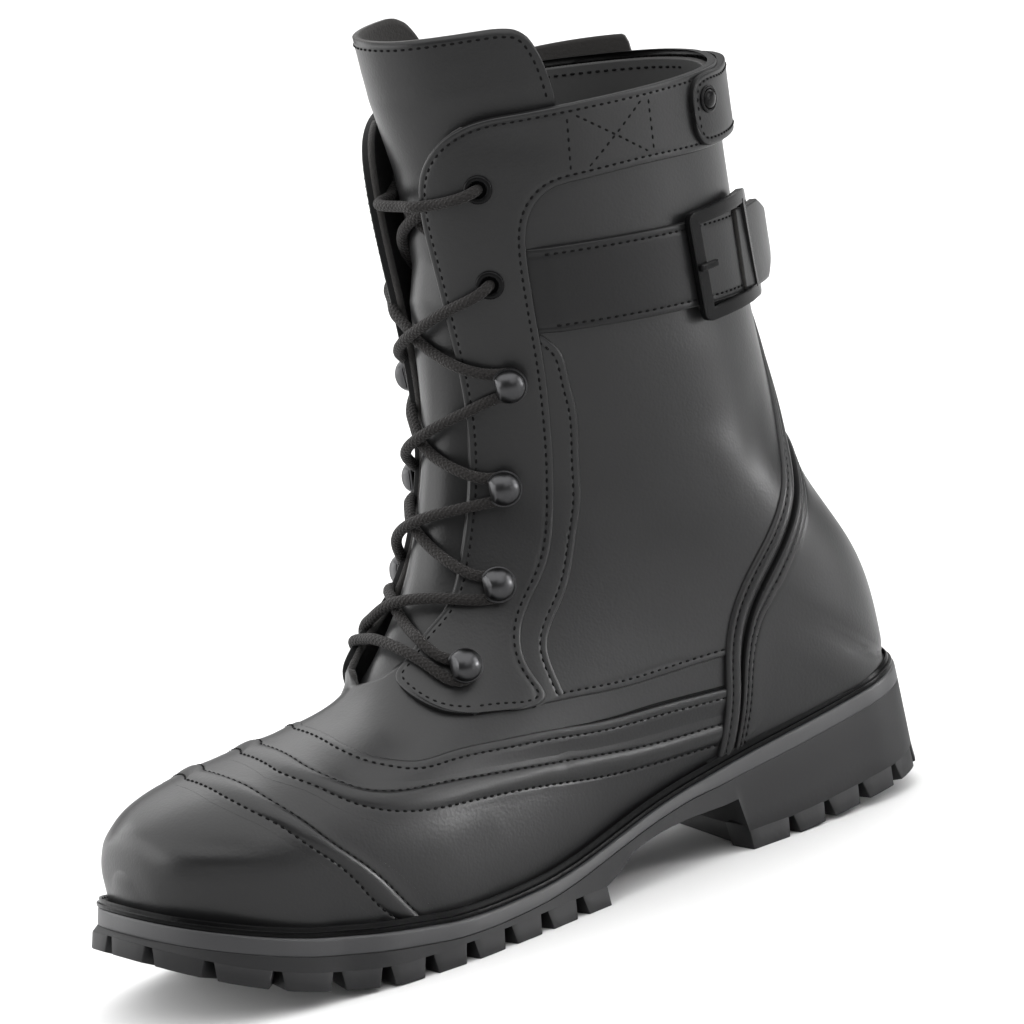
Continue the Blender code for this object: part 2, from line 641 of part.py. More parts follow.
def lace_path(start, stop, short):
    """Line over the front of the boot from one holder to another, stopping short of both and
    sinking to the tongue between the two edges of the throat."""
    share = np.linspace(0, 1, 61)
    t = start[0] + (stop[0] - start[0]) * share
    s = start[1] + (stop[1] - start[1]) * share
    sink = np.clip(np.abs(s) / LACE_EDGE, 0, 1)
    lift = LACE_SINK + (LACE_LIFT - LACE_SINK) * sink * sink * (3 - 2 * sink)
    line = last(t, s) + normal(t, s) * lift[:, None]
    run = np.concatenate([[0], np.cumsum(np.linalg.norm(np.diff(line, axis=0), axis=1))])
    at = np.linspace(short, run[-1] - short, 7)
    return np.stack([np.interp(at, run, line[:, k]) for k in range(3)], -1)


def laces(places):
    for high in range(len(HOLDERS) - 1):
        one = lace_path(places[high, 1], places[high + 1, -1], 14)
        two = lace_path(places[high, -1], places[high + 1, 1], 14)
        cross = solid(f"lace_cross_{high + 1}", *tube(one, LACE_RADIUS), "lace_cord")
        cut(cross, solid(f"lace_over_{high + 1}", *tube(two, LACE_RADIUS)), "UNION")
    for name, row in (("lace_bar_top", 0), ("lace_bar_low", len(HOLDERS) - 1)):
        solid(name, *tube(lace_path(places[row, -1], places[row, 1], 8), LACE_RADIUS), "lace_cord")


def strap_line(x):
    (front_x, front_z), (back_x, back_z) = STRAP_FRONT, STRAP_BACK
    return front_z + (x - front_x) * (back_z - front_z) / (back_x - front_x)


def strap_and_buckle(collar):
    low, high = GAP, GAP + STRAP_THICK
    half = STRAP_WIDE / 2
    front = STRAP_FRONT[0]
    outline = [(front, strap_line(front) - half), (front, strap_line(front) + half)]
    outline += [(-10, strap_line(-10) + half), (-10, strap_line(-10) - half)]
    strap = solid("strap", *shell(low, high, row_at(14.5), collar), "black_leather")
    cut(strap, prism("strap_edge", outline, 1, -90, 90), "INTERSECT")
    bars = []
    for grow in (0, BUCKLE_BAR):
        wide, tall = BUCKLE_WIDE / 2 - grow, BUCKLE_TALL / 2 - grow
        corner = 4 - grow * 0.6
        bars.append([(BUCKLE_X + u, strap_line(BUCKLE_X) + v) for u, v in (
            (-wide + corner, -tall), (wide - corner, -tall), (wide, -tall + corner), (wide, tall - corner),
            (wide - corner, tall), (-wide + corner, tall), (-wide, tall - corner), (-wide, -tall + corner))])
    rest = high + GAP
    frame = solid("buckle", *shell(rest, rest + 2.6, row_at(14.5), collar), "black_metal")
    cut(frame, prism("buckle_edge", bars[0], 1, 0, 90), "INTERSECT")
    cut(frame, prism("buckle_hole", bars[1], 1, -10, 90), "DIFFERENCE")
    mid = strap_line(BUCKLE_X)
    reach = BUCKLE_X + BUCKLE_WIDE / 2 - BUCKLE_BAR
    prong = solid("prong", *shell(rest, rest + 2, row_at(14.5), collar), "black_metal")
    pin = [(reach - u, mid + v) for u, v in ((11, -1.6), (GAP, -1.6), (GAP, 1.6), (11, 1.6))]
    cut(prong, prism("prong_edge", pin, 1, 0, 90), "INTERSECT")
    t, s = find(BUCKLE_X - BUCKLE_WIDE / 2 - 1.5, strap_line(BUCKLE_X - BUCKLE_WIDE / 2))
    spot, out, up, side = frame_at(t, s)
    way = side * math.cos(END_LIFT) + out * math.sin(END_LIFT)
    thick = np.cross(up, way)
    start = spot + out * (rest + 1.2)
    shape = [(0, -half + 1), (END_LONG * 0.45, -half + 2), (END_LONG, -half * 0.35), (END_LONG, half * 0.45)]
    shape += [(END_LONG * 0.55, half - 1), (0, half - 1)]
    points = [start + way * u + up * v + thick * d for d in (-1, 1) for u, v in shape]
    count = len(shape)
    faces = [list(range(count)), list(range(count, 2 * count))]
    faces += [[k, (k + 1) % count, count + (k + 1) % count, count + k] for k in range(count)]
    solid("strap_end", points, faces, "black_leather")
    t, s = find(48.5, 244)
    seat = 2 * OVERLAY + 3 * GAP
    button = [(0, seat), (2.6, seat), (2.6, seat + 0.6), (1.6, seat + 1.3), (0, seat + 1.6)]
    points, faces = turned(button, *frame_at(t, s))
    solid("tab_rivet", points, faces, "gunmetal")


def main():
    for old in list(bpy.data.objects):
        bpy.data.objects.remove(old, do_unlink=True)
    sole()
    insole_and_welt()
    collar = upper_and_tongue()
    overlays(collar)
    laces(holders())
    strap_and_buckle(collar)


main()
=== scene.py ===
"""Looks of a left motorcycle boot, laid out as an add-on.

Sizes are in millimetres on the boot's own axes until a mesh is made: X runs from the back of
the heel to the toe, Y to the outer side of the left foot and Z up from the floor.
"""

import functools
import math

import bmesh
import bpy
import numpy as np
from bpy.props import FloatProperty, FloatVectorProperty, IntProperty, PointerProperty
from bpy.types import Operator, Panel, PropertyGroup
from mathutils import Matrix


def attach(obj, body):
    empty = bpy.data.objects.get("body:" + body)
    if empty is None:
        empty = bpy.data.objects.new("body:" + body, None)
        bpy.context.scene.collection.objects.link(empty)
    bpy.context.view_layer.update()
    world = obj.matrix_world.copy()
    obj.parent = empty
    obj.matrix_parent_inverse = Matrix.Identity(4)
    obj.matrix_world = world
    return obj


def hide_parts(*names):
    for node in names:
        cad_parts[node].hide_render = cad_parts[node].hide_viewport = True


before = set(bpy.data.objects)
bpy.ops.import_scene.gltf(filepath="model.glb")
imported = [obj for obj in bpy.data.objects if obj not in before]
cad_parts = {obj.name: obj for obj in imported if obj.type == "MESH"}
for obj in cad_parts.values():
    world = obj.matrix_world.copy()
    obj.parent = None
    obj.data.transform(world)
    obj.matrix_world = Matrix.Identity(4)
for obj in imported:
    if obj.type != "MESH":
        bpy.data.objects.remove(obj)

bl_info = {
    "name": "Motorcycle boot",
    "version": (1, 0, 0),
    "blender": (4, 5, 0),
    "location": "View3D > Sidebar > Boot",
    "description": "Leather, sole, lacing and metal fittings of a left motorcycle boot",
    "category": "Object",
}

MM = 0.001
CENTRE = np.array([150.7, 0.6, 0.0])

# Sizes that the upper and the sole share
FOOT_START, FOOT_END = 5.7, 291.2
HEEL_ROUND, TOE_ROUND, ROUND_POWER = 30.0, 243.0, 2.25
SEAM_GAP = 0.45
UPPER_WALL = 2.2
BAND_MARGIN = 6.4
WALL_TOP, WALL_LOW, WALL_FLOOR = 6.7, 7.4, 8.2
HEEL_SHARE, TOE_SHARE, TOE_PUSH = 0.62, 0.55, 4.0
HEEL_BREAST, BREAST_RAMP, TREAD_START, TREAD_RAMP = 83.0, 2.0, 143.0, 13.0
BREAST_LEAN = 8.0
ROCKER_START, TOE_SPRING = 215.0, 27.0
HEEL_EASE, HEEL_RISE = 68.0, 8.0
LUG_DEPTH = 6.2
TREAD_REACH, TREAD_PITCH, TOE_PITCH, TREAD_GAP = 20.0, 15.4, 20.5, (5.2, 2.8)
HEEL_REACH, HEEL_PITCH, HEEL_GAP = 14.0, 14.9, (4.4, 1.8)
TOE_CLOSE = 0.9
INNER_EASE = 0.42

# How far the last is smoothed where its sections leave the sole, and where the rim of the collar rises
SMOOTH_REACH, SMOOTH_FADE = 0.8, 0.2
RIM_ROW, RIM_ROWS = 19.5, 1.5

# Height of the lace, how deep the quarters lie, the stitches' distance from an edge, sides, faces of a block
LACE_LIFT = 4.3
QUARTER_UNDER = 1.4
STITCH_IN, STITCH_SINK = 2.3, 0.06
SIDES = (("outer", 1), ("inner", -1))
BOX_FACES = ((3, 2, 1, 0), (4, 5, 6, 7), (0, 1, 5, 4), (1, 2, 6, 5), (2, 3, 7, 6), (3, 0, 4, 7))

# Plan of the edge where the upper meets the sole: x, outer and inner half width
PLAN = np.array((
    (30, 28.6, 28.6), (60, 30.2, 29.2), (90, 31, 28), (120, 33.2, 27.2), (150, 38, 30), (180, 43.5, 37),
    (205, 46.6, 43), (225, 46.6, 45.5), (243, 43.5, 45),
))

# Height of the sole's top along the foot: x, z
SEAT = np.array((
    (-6, 42.6), (10, 41), (22, 38.9), (34, 36.9), (46, 35.2), (58, 33.6), (70, 32), (82, 30.2), (94, 28.2),
    (106, 26.2), (118, 23.7), (130, 20.7), (142, 17.7), (154, 15.1), (168, 13.4), (185, 12.9), (202, 13.6),
    (214, 15.2), (226, 17.1), (238, 19.2), (250, 21.7), (262, 25.1), (274, 29.1), (288.5, 34.4),
    (303, 40.6),
))

# Thickness along the foot: x, of the band, and of the plain sole under it at the arch
BAND_DEPTH = np.array((
    (-6, 5.5), (60, 5.5), (85, 4.9), (105, 3.7), (140, 3.5), (165, 4.3), (200, 5.3), (230, 5.8), (303, 6.3),
))
PLATE_DEPTH = np.array(((-6, 7.0), (85, 7.0), (125, 3.6), (303, 3.4)))

# Sections of the foot: top x and z, place along the sole, widest half widths outer and inner,
# where down the section it is widest, and how square its crown and seat are
FOOT = np.array((
    (290.4, 50, 290.8, 9, 9, 0.6, 2, 2),
    (289, 57, 289, 15.8, 16.8, 0.6, 2, 2),
    (286.2, 62.6, 284, 24, 25.5, 0.6, 2.1, 2),
    (278.5, 67.6, 275.5, 32.5, 34.5, 0.62, 2.2, 2),
    (265, 71.4, 262.5, 40.5, 42.5, 0.63, 2.25, 2),
    (247, 73.6, 244.5, 45.4, 46.8, 0.64, 2.3, 2),
    (226, 76, 224, 48, 47, 0.66, 2.25, 2),
    (209, 78.6, 205, 48.2, 44.8, 0.66, 2.15, 2),
    (198, 82.6, 186, 46.6, 41.5, 0.68, 2.1, 2),
    (189.5, 89.6, 160, 43.4, 37.3, 0.68, 2.05, 2),
    (180.5, 99.5, 130, 40, 35.2, 0.66, 2, 2),
    (171.5, 112, 97, 38, 34.6, 0.66, 2, 2.1),
    (165, 126, 62, 37.3, 35.4, 0.65, 2, 2.2),
    (160, 139, 30, 37.4, 36.2, 0.62, 2, 2.3),
    (156, 152, 5.7, 38, 37.2, 0.585, 2, 2.4),
))

# Sections of the shaft, up to the collar and the top of the tongue: the same with the back's x and z
SHAFT = np.array((
    (153, 165, 6.4, 62, 39, 38.4, 0.555, 2, 2.4),
    (151.2, 178, 10.8, 82, 39.6, 39.2, 0.535, 2, 2.3),
    (150, 192, 21.3, 104, 40.2, 40, 0.52, 2, 2.2),
    (149.7, 206, 27.6, 128, 41, 40.8, 0.52, 2, 2.1),
    (149.8, 221, 29.8, 168, 42.2, 42, 0.52, 2, 2),
    (149.6, 238, 29.6, 212, 43.2, 43, 0.52, 2, 2),
    (148.6, 257.5, 27.3, 253.5, 44, 44, 0.52, 2, 2),
    (149, 274, 25, 276, 43.6, 43.6, 0.52, 2, 2),
    (150.2, 291, 23, 298, 43, 43, 0.52, 2, 2),
))
HEEL_ROW, COLLAR_ROW = len(FOOT) - 1, len(FOOT) + 6

# Half width of the throat at each height
THROAT = np.array((
    (84.5, 0), (85.4, 5), (87, 9.4), (90, 13), (94, 16.6), (99, 19.6), (106, 21), (118, 21), (142, 19.6),
    (158, 19.2), (188, 18.6), (214, 18), (234, 18), (245, 20), (251, 24.5), (256, 32), (300, 44),
))

# Edges and seams of the outer side, seen from the side: x, z
TOE_LOW = (
    (220.5, 18.4), (226.8, 25.6), (231.9, 33.9), (237.6, 42), (245.3, 50.6), (251.7, 58.6), (258.6, 66.1),
    (261.6, 70.4),
)
TOE_HIGH = (
    (212.7, 17.5), (217.8, 24.6), (223.5, 33.1), (230.6, 41.7), (238.5, 50.5), (244.7, 59.1), (250.8, 67.2),
    (253.2, 71.6),
)
VAMP_LOW = (
    (83.4, 36.4), (88, 36.7), (110, 37.8), (134.7, 40.2), (159, 44.4), (190.6, 48.3), (205.5, 50.5),
    (219, 54.9), (229, 61), (234.6, 66), (239, 69.4), (241.3, 71.8),
)
VAMP_HIGH = (
    (81.4, 43.2), (86, 43.4), (109.2, 44.5), (149.2, 49.7), (172.4, 53), (195.4, 56.2), (213, 58.7),
    (223.2, 62.9), (229, 67.4), (231.7, 70.2), (233, 73.2),
)
VAMP_TOP = (
    (78.6, 54.5), (84, 54.8), (107.1, 56.3), (131.5, 57.7), (146.4, 59.8), (169.1, 62.3), (187.5, 63.6),
    (199.5, 64.2), (208, 67.3), (213.4, 70.2), (216.4, 73.4),
)
QUARTER_LOW = ((76.6, 65.3), (80, 65.4), (100, 65.6), (122, 66), (139, 67.8), (152.3, 69), (160, 70))
FACING_FRONT = (
    (173.3, 71.7), (184.7, 76), (188.6, 80.8), (189.2, 84.2), (183.9, 90), (176.5, 96.3), (166.4, 104.6),
    (157.9, 118), (148.7, 142), (145.6, 158), (144.5, 187.5), (145.4, 214), (145.6, 234), (143.6, 244.6),
    (139.4, 251.4), (132, 255.7), (120, 256.5), (104, 256), (88, 255.4), (60, 254.2), (40, 253.4),
)
FACING_BACK = (
    (173.3, 71.7), (163, 70.2), (152.3, 69), (148.4, 70.6), (149.5, 76.9), (150.9, 85.6), (149.8, 90.3),
    (142.1, 101.6), (135.2, 109.5), (129.4, 121), (126.1, 133.6), (123.9, 149.8), (122.7, 169.6),
    (122.8, 186.3),
    (122.9, 199.6), (122.5, 212.9), (121.1, 220.7), (117.8, 226.7), (113.4, 230), (103.4, 231.2),
    (81.3, 230.8),
    (53.9, 228.6), (40, 227.8),
)
STRIP_EDGE = (
    (122.4, 184.6), (117.9, 178.4), (116.4, 168), (115.5, 157.9), (117.1, 141.6), (118.9, 128.4),
    (123.2, 116.3), (127.1, 107.4), (132.6, 98.9), (138.5, 92.3), (142.6, 84.8), (142.8, 79), (142.2, 73.6),
    (141.7, 70.2),
)
HEEL_STRIP = (
    (86.6, 24), (83, 36), (79.4, 50), (75.6, 69.6), (67.4, 84.4), (56, 97), (45, 111), (37.4, 127),
    (32.5, 146),
    (30.4, 166),
)
COUNTER_EDGE = (
    (84, 22), (80.1, 36), (76.5, 50), (72.5, 67), (64.4, 81.6), (52.8, 94.4), (42, 107.6), (35.2, 117),
    (29.5, 125.5),
)
STRAP_FRONT, STRAP_BACK = (122.2, 199.0), (68.0, 194.4)
STRAP_HALF, STRAP_LIFT = 14.0, 2.9
BUCKLE_X, BUCKLE_WIDE, BUCKLE_TALL, BUCKLE_BAR = 52.5, 33.0, 36.0, 4.2

# Lace holders seen from the side, from the top: kind, x, z
HOLDERS = (
    ("eyelet", 132.4, 235), ("eyelet", 133.6, 204), ("hook", 132.6, 171.4), ("hook", 140.3, 137.8),
    ("hook", 151.4, 107.4), ("hook", 171, 84.6),
)

# Lines of the stitched box on the cuff, seen from the side
CUFF_BOX = (
    ((103.4, 252.2), (105.3, 234.4)), ((74.0, 251.4), (75.2, 234.2)), ((101.0, 252.2), (77.0, 234.2)),
    ((76.5, 251.4), (99.5, 234.4)),
)

# Soft troughs and ridges of the worn-in leather seen from the side: from x, z to x, z, half width, depth
CREASES = (
    (118, 112, 88, 106, 10, 0.5), (122, 128, 84, 124, 9, -0.4), (110, 150, 58, 140, 12, 0.45),
    (100, 172, 50, 164, 12, -0.35), (206, 70, 190, 77, 6, 0.45), (243, 72, 232, 60, 7, -0.3),
    (60, 118, 44, 150, 9, 0.4), (160, 46, 128, 43, 5, 0.25), (196, 30, 178, 38, 10, 0.4),
    (282, 60, 264, 55.5, 4.2, 0.3), (284, 54.8, 262, 50.2, 4, -0.34), (96, 84, 120, 82, 8, 0.3),
    (130, 250, 108, 244, 8, 0.3),
)

# Extra height of the rim round the collar: place s from the inner edge to the outer, height
INNER_RIM = np.array((
    (-1, 1.9), (-0.88, 2.8), (-0.75, 3.5), (-0.64, 4.3), (-0.5, 4.3), (-0.35, 3), (-0.15, 0), (0.8, 0),
    (0.9, 0.6), (1, 1.9),
))

# Top edge of the tongue: place s, height; and how far it sinks behind the lacing: section, depth
TONGUE_HALF = 0.402
TONGUE_EDGE = np.array((
    (-0.402, 262), (-0.39, 271), (-0.37, 279), (-0.345, 284), (-0.31, 286.4), (-0.24, 286.6),
    (-0.12, 286.2),
    (0, 285.6), (0.12, 284.8), (0.24, 284.4), (0.31, 284), (0.35, 282.8), (0.372, 279.8), (0.388, 273),
    (0.396, 266), (0.402, 258),
))
TONGUE_SINK = np.array((
    (16.6, 0), (17.6, 1.2), (18.4, 5), (19.4, 6), (20.2, 5), (20.9, 2), (21.4, 0.4), (22, 0),
))

# Section and distance by which the inner facing's front edge stands open
OPEN_EDGE = np.array((
    (8.2, 0), (8.7, 3.4), (9.8, 3.8), (11, 1.4), (12, 0.3), (16.5, 0.2), (18.5, 0.5), (20.5, 0.5),
    (21, 0.4),
))

# Camera of the photograph, in degrees and millimetres
VIEW_TURN, VIEW_RISE, VIEW_ROLL, VIEW_FAR = 151.62, 11.31, -11.12, 2315.1
VIEW_TARGET = np.array([126.99, 0.0, 123.96])
VIEW_LENS = 249.7

# Strength of the sky, then strength and angle of the sheet of light overhead
SKY_POWER, SHEET_POWER, SHEET_ANGLE = 0.2, 5.0, 100

# Area lights in metres, watts and degrees: name, place, height aimed at, width, height, power, spread
LIGHTS = (
    ("back_sweep", (-0.85, -1.6, 1.45), 0.12, 4.6, 1.5, 44, 180),
    ("far_softbox", (0.9, -1.5, 0.55), 0.12, 1.2, 1.0, 13, 180),
    ("left_softbox", (1.65, -0.45, 0.72), 0.12, 1.4, 1.0, 20, 180),
    ("front_softbox", (-0.1, 1.75, 1.15), 0.12, 1.6, 0.7, 7, 180),
    ("right_softbox", (-1.03, 0.71, 0.62), 0.12, 0.74, 0.5, 6.5, 180),
    ("side_strip", (-0.75, 1.41, 0.3), 0.12, 0.8, 0.4, 2.2, 180),
    ("low_strip", (-1.06, 0.75, 0.14), -0.05, 0.6, 0.24, 0.56, 26),
)


LENGTH = {"subtype": "DISTANCE", "min": 0.0001, "max": 0.01}
COLOUR = {"subtype": "COLOR", "min": 0, "max": 1}


class BootSizes(PropertyGroup):
    """Sizes and colours of the finished boot."""

    overlay: FloatProperty(
        name="Overlay", description="Thickness of leather laid over the upper", default=2.2 * MM, **LENGTH
    )
    stitch_pitch: FloatProperty(
        name="Stitch pitch", description="Distance from one stitch to the next", default=2.75 * MM, **LENGTH
    )
    stitch_long: FloatProperty(
        name="Stitch length", description="Length of the thread that shows", default=1.8 * MM, **LENGTH
    )
    stitch_thick: FloatProperty(
        name="Thread radius", description="Radius of the thread", default=0.4 * MM, **LENGTH
    )
    lace_radius: FloatProperty(
        name="Lace radius", description="Radius of the round lace", default=1.85 * MM, **LENGTH
    )
    lace_sides: IntProperty(
        name="Lace sides", description="Number of sides round the lace", default=14, min=6, max=48
    )
    leather: FloatVectorProperty(
        name="Leather", description="Colour of the leather", default=(0.0068, 0.0068, 0.0071), **COLOUR
    )
    lining: FloatVectorProperty(
        name="Lining", description="Colour of the lining", default=(0.034, 0.034, 0.034), **COLOUR
    )
    raw_edge: FloatVectorProperty(
        name="Raw edge", description="Colour of the cut edges", default=(0.02, 0.0188, 0.018), **COLOUR
    )
    thread: FloatVectorProperty(
        name="Thread", description="Colour of the thread", default=(0.0018, 0.0018, 0.0019), **COLOUR
    )
    lace: FloatVectorProperty(
        name="Lace", description="Colour of the lace", default=(0.0085, 0.0075, 0.0072), **COLOUR
    )
    band: FloatVectorProperty(
        name="Band", description="Colour of the rubber band", default=(0.024, 0.024, 0.0253), **COLOUR
    )
    tread: FloatVectorProperty(
        name="Tread", description="Colour of the rubber tread", default=(0.0085, 0.0085, 0.009), **COLOUR
    )
    gunmetal: FloatVectorProperty(
        name="Hooks", description="Colour of the lace hooks", default=(0.046, 0.046, 0.0475), **COLOUR
    )
    black_metal: FloatVectorProperty(
        name="Buckle", description="Colour of buckle and eyelets", default=(0.0032, 0.0032, 0.0034), **COLOUR
    )
    floor: FloatVectorProperty(
        name="Floor", description="Colour of the floor", default=(0.57, 0.57, 0.57), **COLOUR
    )


def size(name):
    """One of the panel's sizes, in millimetres."""
    return getattr(bpy.context.scene.boot, name) / MM


def glide(table, column=1):
    """Smooth curve through a table that never passes beyond its own values, as a function of place."""
    places, values = table[:, 0].astype(float), table[:, column].astype(float)
    step = np.diff(places)
    slope = np.diff(values) / step
    lean = np.zeros(len(values))
    for k in range(1, len(values) - 1):
        if slope[k - 1] * slope[k] > 0:
            a, b = 2 * step[k] + step[k - 1], step[k] + 2 * step[k - 1]
            lean[k] = (a + b) / (a / slope[k - 1] + b / slope[k])
    lean[0], lean[-1] = slope[0], slope[-1]

    def at(where):
        where = np.asarray(where, float)
        k = np.clip(np.searchsorted(places, where, side="right") - 1, 0, len(values) - 2)
        u = (where - places[k]) / step[k]
        rise = (1 + 2 * u) * (1 - u) ** 2 * values[k] + u * u * (3 - 2 * u) * values[k + 1]
        return rise + step[k] * (u * (1 - u) ** 2 * lean[k] - u * u * (1 - u) * lean[k + 1])

    return at


def flow(places, values):
    """Curve of even bending through rows of values at any places, as a function of place."""
    places, values = np.asarray(places, float), np.asarray(values, float)
    count, step = len(places), np.diff(places)
    system, pull = np.eye(count), np.zeros_like(values)
    for k in range(1, count - 1):
        system[k, k - 1 : k + 2] = step[k - 1], 2 * (step[k - 1] + step[k]), step[k]
        pull[k] = 6 * ((values[k + 1] - values[k]) / step[k] - (values[k] - values[k - 1]) / step[k - 1])
    bend = np.linalg.solve(system, pull)

    def at(where):
        where = np.asarray(where, float)
        k = np.clip(np.searchsorted(places, where, side="right") - 1, 0, count - 2)
        b = ((where - places[k]) / step[k])[..., None]
        a, wide = 1 - b, step[k][..., None] ** 2
        pulled = ((a**3 - a) * bend[k] + (b**3 - b) * bend[k + 1]) * wide / 6
        return a * values[k] + b * values[k + 1] + pulled

    return at


# The tables as curves along the foot, and over the sections of the last
seat_z, band_depth, plate_depth = glide(SEAT), glide(BAND_DEPTH), glide(PLATE_DEPTH)
plan_width = {1: glide(PLAN, 1), 2: glide(PLAN, 2)}
rows_at = flow(
    np.arange(len(FOOT) + len(SHAFT)), np.concatenate([np.delete(FOOT, 2, 1), np.delete(SHAFT, (2, 3), 1)])
)
sole_at = glide(np.column_stack([np.arange(len(FOOT)), FOOT[:, 2]]))
back_at = flow(
    np.arange(len(SHAFT) + 1),
    np.concatenate([[(FOOT[-1, 2], float(seat_z(FOOT[-1, 2])))], SHAFT[:, 2:4]]),
)


def floor_z(x):
    """Underside of the tread: flat, with the toe sprung up and the heel's back edge eased."""
    toe = np.clip((np.asarray(x, float) - ROCKER_START) / (303 - ROCKER_START), 0, None)
    heel = np.clip((HEEL_EASE - np.asarray(x, float)) / HEEL_EASE, 0, None)
    return TOE_SPRING * toe**2 + HEEL_RISE * heel**1.5


def band_z(x, share):
    """Height in the band at a share of its thickness, from its top down."""
    return seat_z(x) - band_depth(x) * share


def half_width(x, side):
    """Half width of the upper's lower edge at x; side is 1 on the outer side and 2 on the inner."""
    x = np.clip(np.asarray(x, float), FOOT_START, FOOT_END)
    wide = plan_width[side](np.clip(x, HEEL_ROUND, TOE_ROUND))
    back = np.clip((HEEL_ROUND - x) / (HEEL_ROUND - FOOT_START), 0, 1)
    front = np.clip((x - TOE_ROUND) / (FOOT_END - TOE_ROUND), 0, 1)
    return wide * ((1 - back**ROUND_POWER) * (1 - front**ROUND_POWER)) ** (1 / ROUND_POWER)


def last(t, s):
    """Point of the upper's outside: t counts sections from the tip of the toe at -1, s runs from
    the inner edge at -1 over the top at 0 to the outer edge at 1, and on round the back of the shaft.
    The line where the sections leave the sole is smoothed over."""
    t, s = np.broadcast_arrays(np.asarray(t, float), np.asarray(s, float))
    point = section(t, s)
    near = (np.abs(t - HEEL_ROW) < 1) & (np.abs(s) < 1)
    if near.any():
        t, s = t[near], s[near]
        reach = SMOOTH_REACH * (1 - np.abs(t - HEEL_ROW)) * np.clip((1 - np.abs(s)) / SMOOTH_FADE, 0, 1)
        share = np.linspace(-1, 1, 7)[1:-1]
        parts = [(1 - abs(u)) * section(t + reach * u, s) for u in share]
        point[near] = sum(parts) / sum(1 - np.abs(share))
    return point


def section(t, s):
    """Point of the last before smoothing, on one section."""
    s = np.where(s > 1, np.where(t >= HEEL_ROW, s - 2, 1), s)
    s = np.where(s < -1, np.where(t >= HEEL_ROW, s + 2, -1), s)
    width = 1 - np.clip(-t, 0, 1)
    t = np.clip(t, 0, None)
    top_x, top_z, outer, inner, widest, crown, seat = np.moveaxis(rows_at(t), -1, 0)
    edge_x = sole_at(np.clip(t, 0, HEEL_ROW))
    up = np.clip(t - HEEL_ROW, 0, None)
    back = back_at(up)
    low_x = np.where(up > 0, back[..., 0], edge_x)
    low_z = np.where(up > 0, back[..., 1], seat_z(edge_x))
    wide = np.where(s > 0, outer, inner)
    foot = np.where(t >= HEEL_ROW, 0, np.where(s > 0, half_width(edge_x, 1), half_width(edge_x, 2)))
    angle = np.abs(s) * math.pi
    above = np.minimum(angle, math.pi / 2)
    below = np.clip(angle - math.pi / 2, 0, math.pi / 2)
    foot = np.minimum(foot, 0.97 * wide)
    round_off = (1 - foot / wide) * width + 0.12 * (1 - width)
    crown = crown - np.where(s < 0, INNER_EASE * np.clip((11 - t) / 3, 0, 1) * np.clip(t / 2, 0, 1), 0)
    down = widest * (1 - np.cos(above).clip(0) ** (2 / crown))
    drop = (1 - round_off) * below / (math.pi / 2) + round_off * np.sin(below) ** (2 / seat)
    down = down + (1 - widest) * drop
    across = np.where(
        angle <= math.pi / 2,
        wide * np.sin(above) ** (2 / crown),
        foot + (wide - foot) * np.cos(below).clip(0) ** (2 / seat),
    )
    belly = np.clip(down / 0.4, 0, 1)
    x = top_x + (low_x - top_x) * down + TOE_CLOSE * (1 - width**2) * belly * (2 - belly)
    z = top_z + (low_z + SEAM_GAP - top_z) * down
    return np.stack([x, np.sign(s) * across * width, z], -1)


def unit(way):
    return way / np.maximum(np.linalg.norm(way, axis=-1, keepdims=True), 1e-9)


def normal(t, s):
    """Outward direction of the last."""
    t, s = np.asarray(t, float), np.asarray(s, float)
    along = last(np.maximum(t + 0.02, -0.98), s) - last(np.maximum(t - 0.02, -1), s)
    around = last(t, s + 0.004) - last(t, s - 0.004)
    return unit(np.cross(around, along))


def crease(points):
    """Height of the soft troughs and ridges at points of the last."""
    rise = np.zeros(points.shape[:-1])
    flat = points[..., (0, 2)]
    for x0, z0, x1, z1, half, depth in CREASES:
        start, way = np.array([x0, z0]), np.array([x1 - x0, z1 - z0])
        share = np.clip(((flat - start) @ way) / (way @ way), 0, 1)
        away = np.linalg.norm(flat - start - share[..., None] * way, axis=-1)
        fade = np.sin(math.pi * np.clip(0.15 + 0.7 * share, 0, 1))
        rise -= depth * fade * np.exp(-((away / half) ** 2) * 2)
    return rise


def over(t, s, lift=0.0):
    """Point at a height over the last, with its creases, the higher inner rim and the open inner facing."""
    t, s = np.broadcast_arrays(np.asarray(t, float), np.asarray(s, float))
    spot = last(t, s)
    made = spot + normal(t, s) * (np.asarray(lift) + crease(spot) + stand_off(t, s))[..., None]
    made[..., 2] += rim(t, np.where(s > 1, s - 2, s))
    return made


def rim(t, s):
    """Height that the rim of the collar gains towards its top."""
    return np.interp(s, *INNER_RIM.T) * np.clip((t - RIM_ROW) / RIM_ROWS, 0, 1) ** 2


def stand_off(t, s):
    """How far the front edge of the inner facing stands away from the last."""
    edge = np.maximum(throat_s(t), 0.03)
    beyond = np.clip((edge + 0.17 - np.abs(s)) / 0.17, 0, 1)
    within = np.clip(np.abs(s) / edge, 0, 1) ** 3
    far = np.interp(t, *OPEN_EDGE.T)
    return np.where((s < 0) & (s > -0.6), far * beyond**2 * (3 - 2 * beyond) * within, 0.0)


@functools.lru_cache(maxsize=None)
def chart():
    """Dense places over the outer side, to look points up in."""
    rows = np.linspace(-0.6, len(FOOT) + len(SHAFT) - 1, 240)
    t, s = np.meshgrid(rows, np.linspace(0, 1, 160), indexing="ij")
    return t.ravel(), s.ravel(), last(t, s).reshape(-1, 3)[:, (0, 2)]


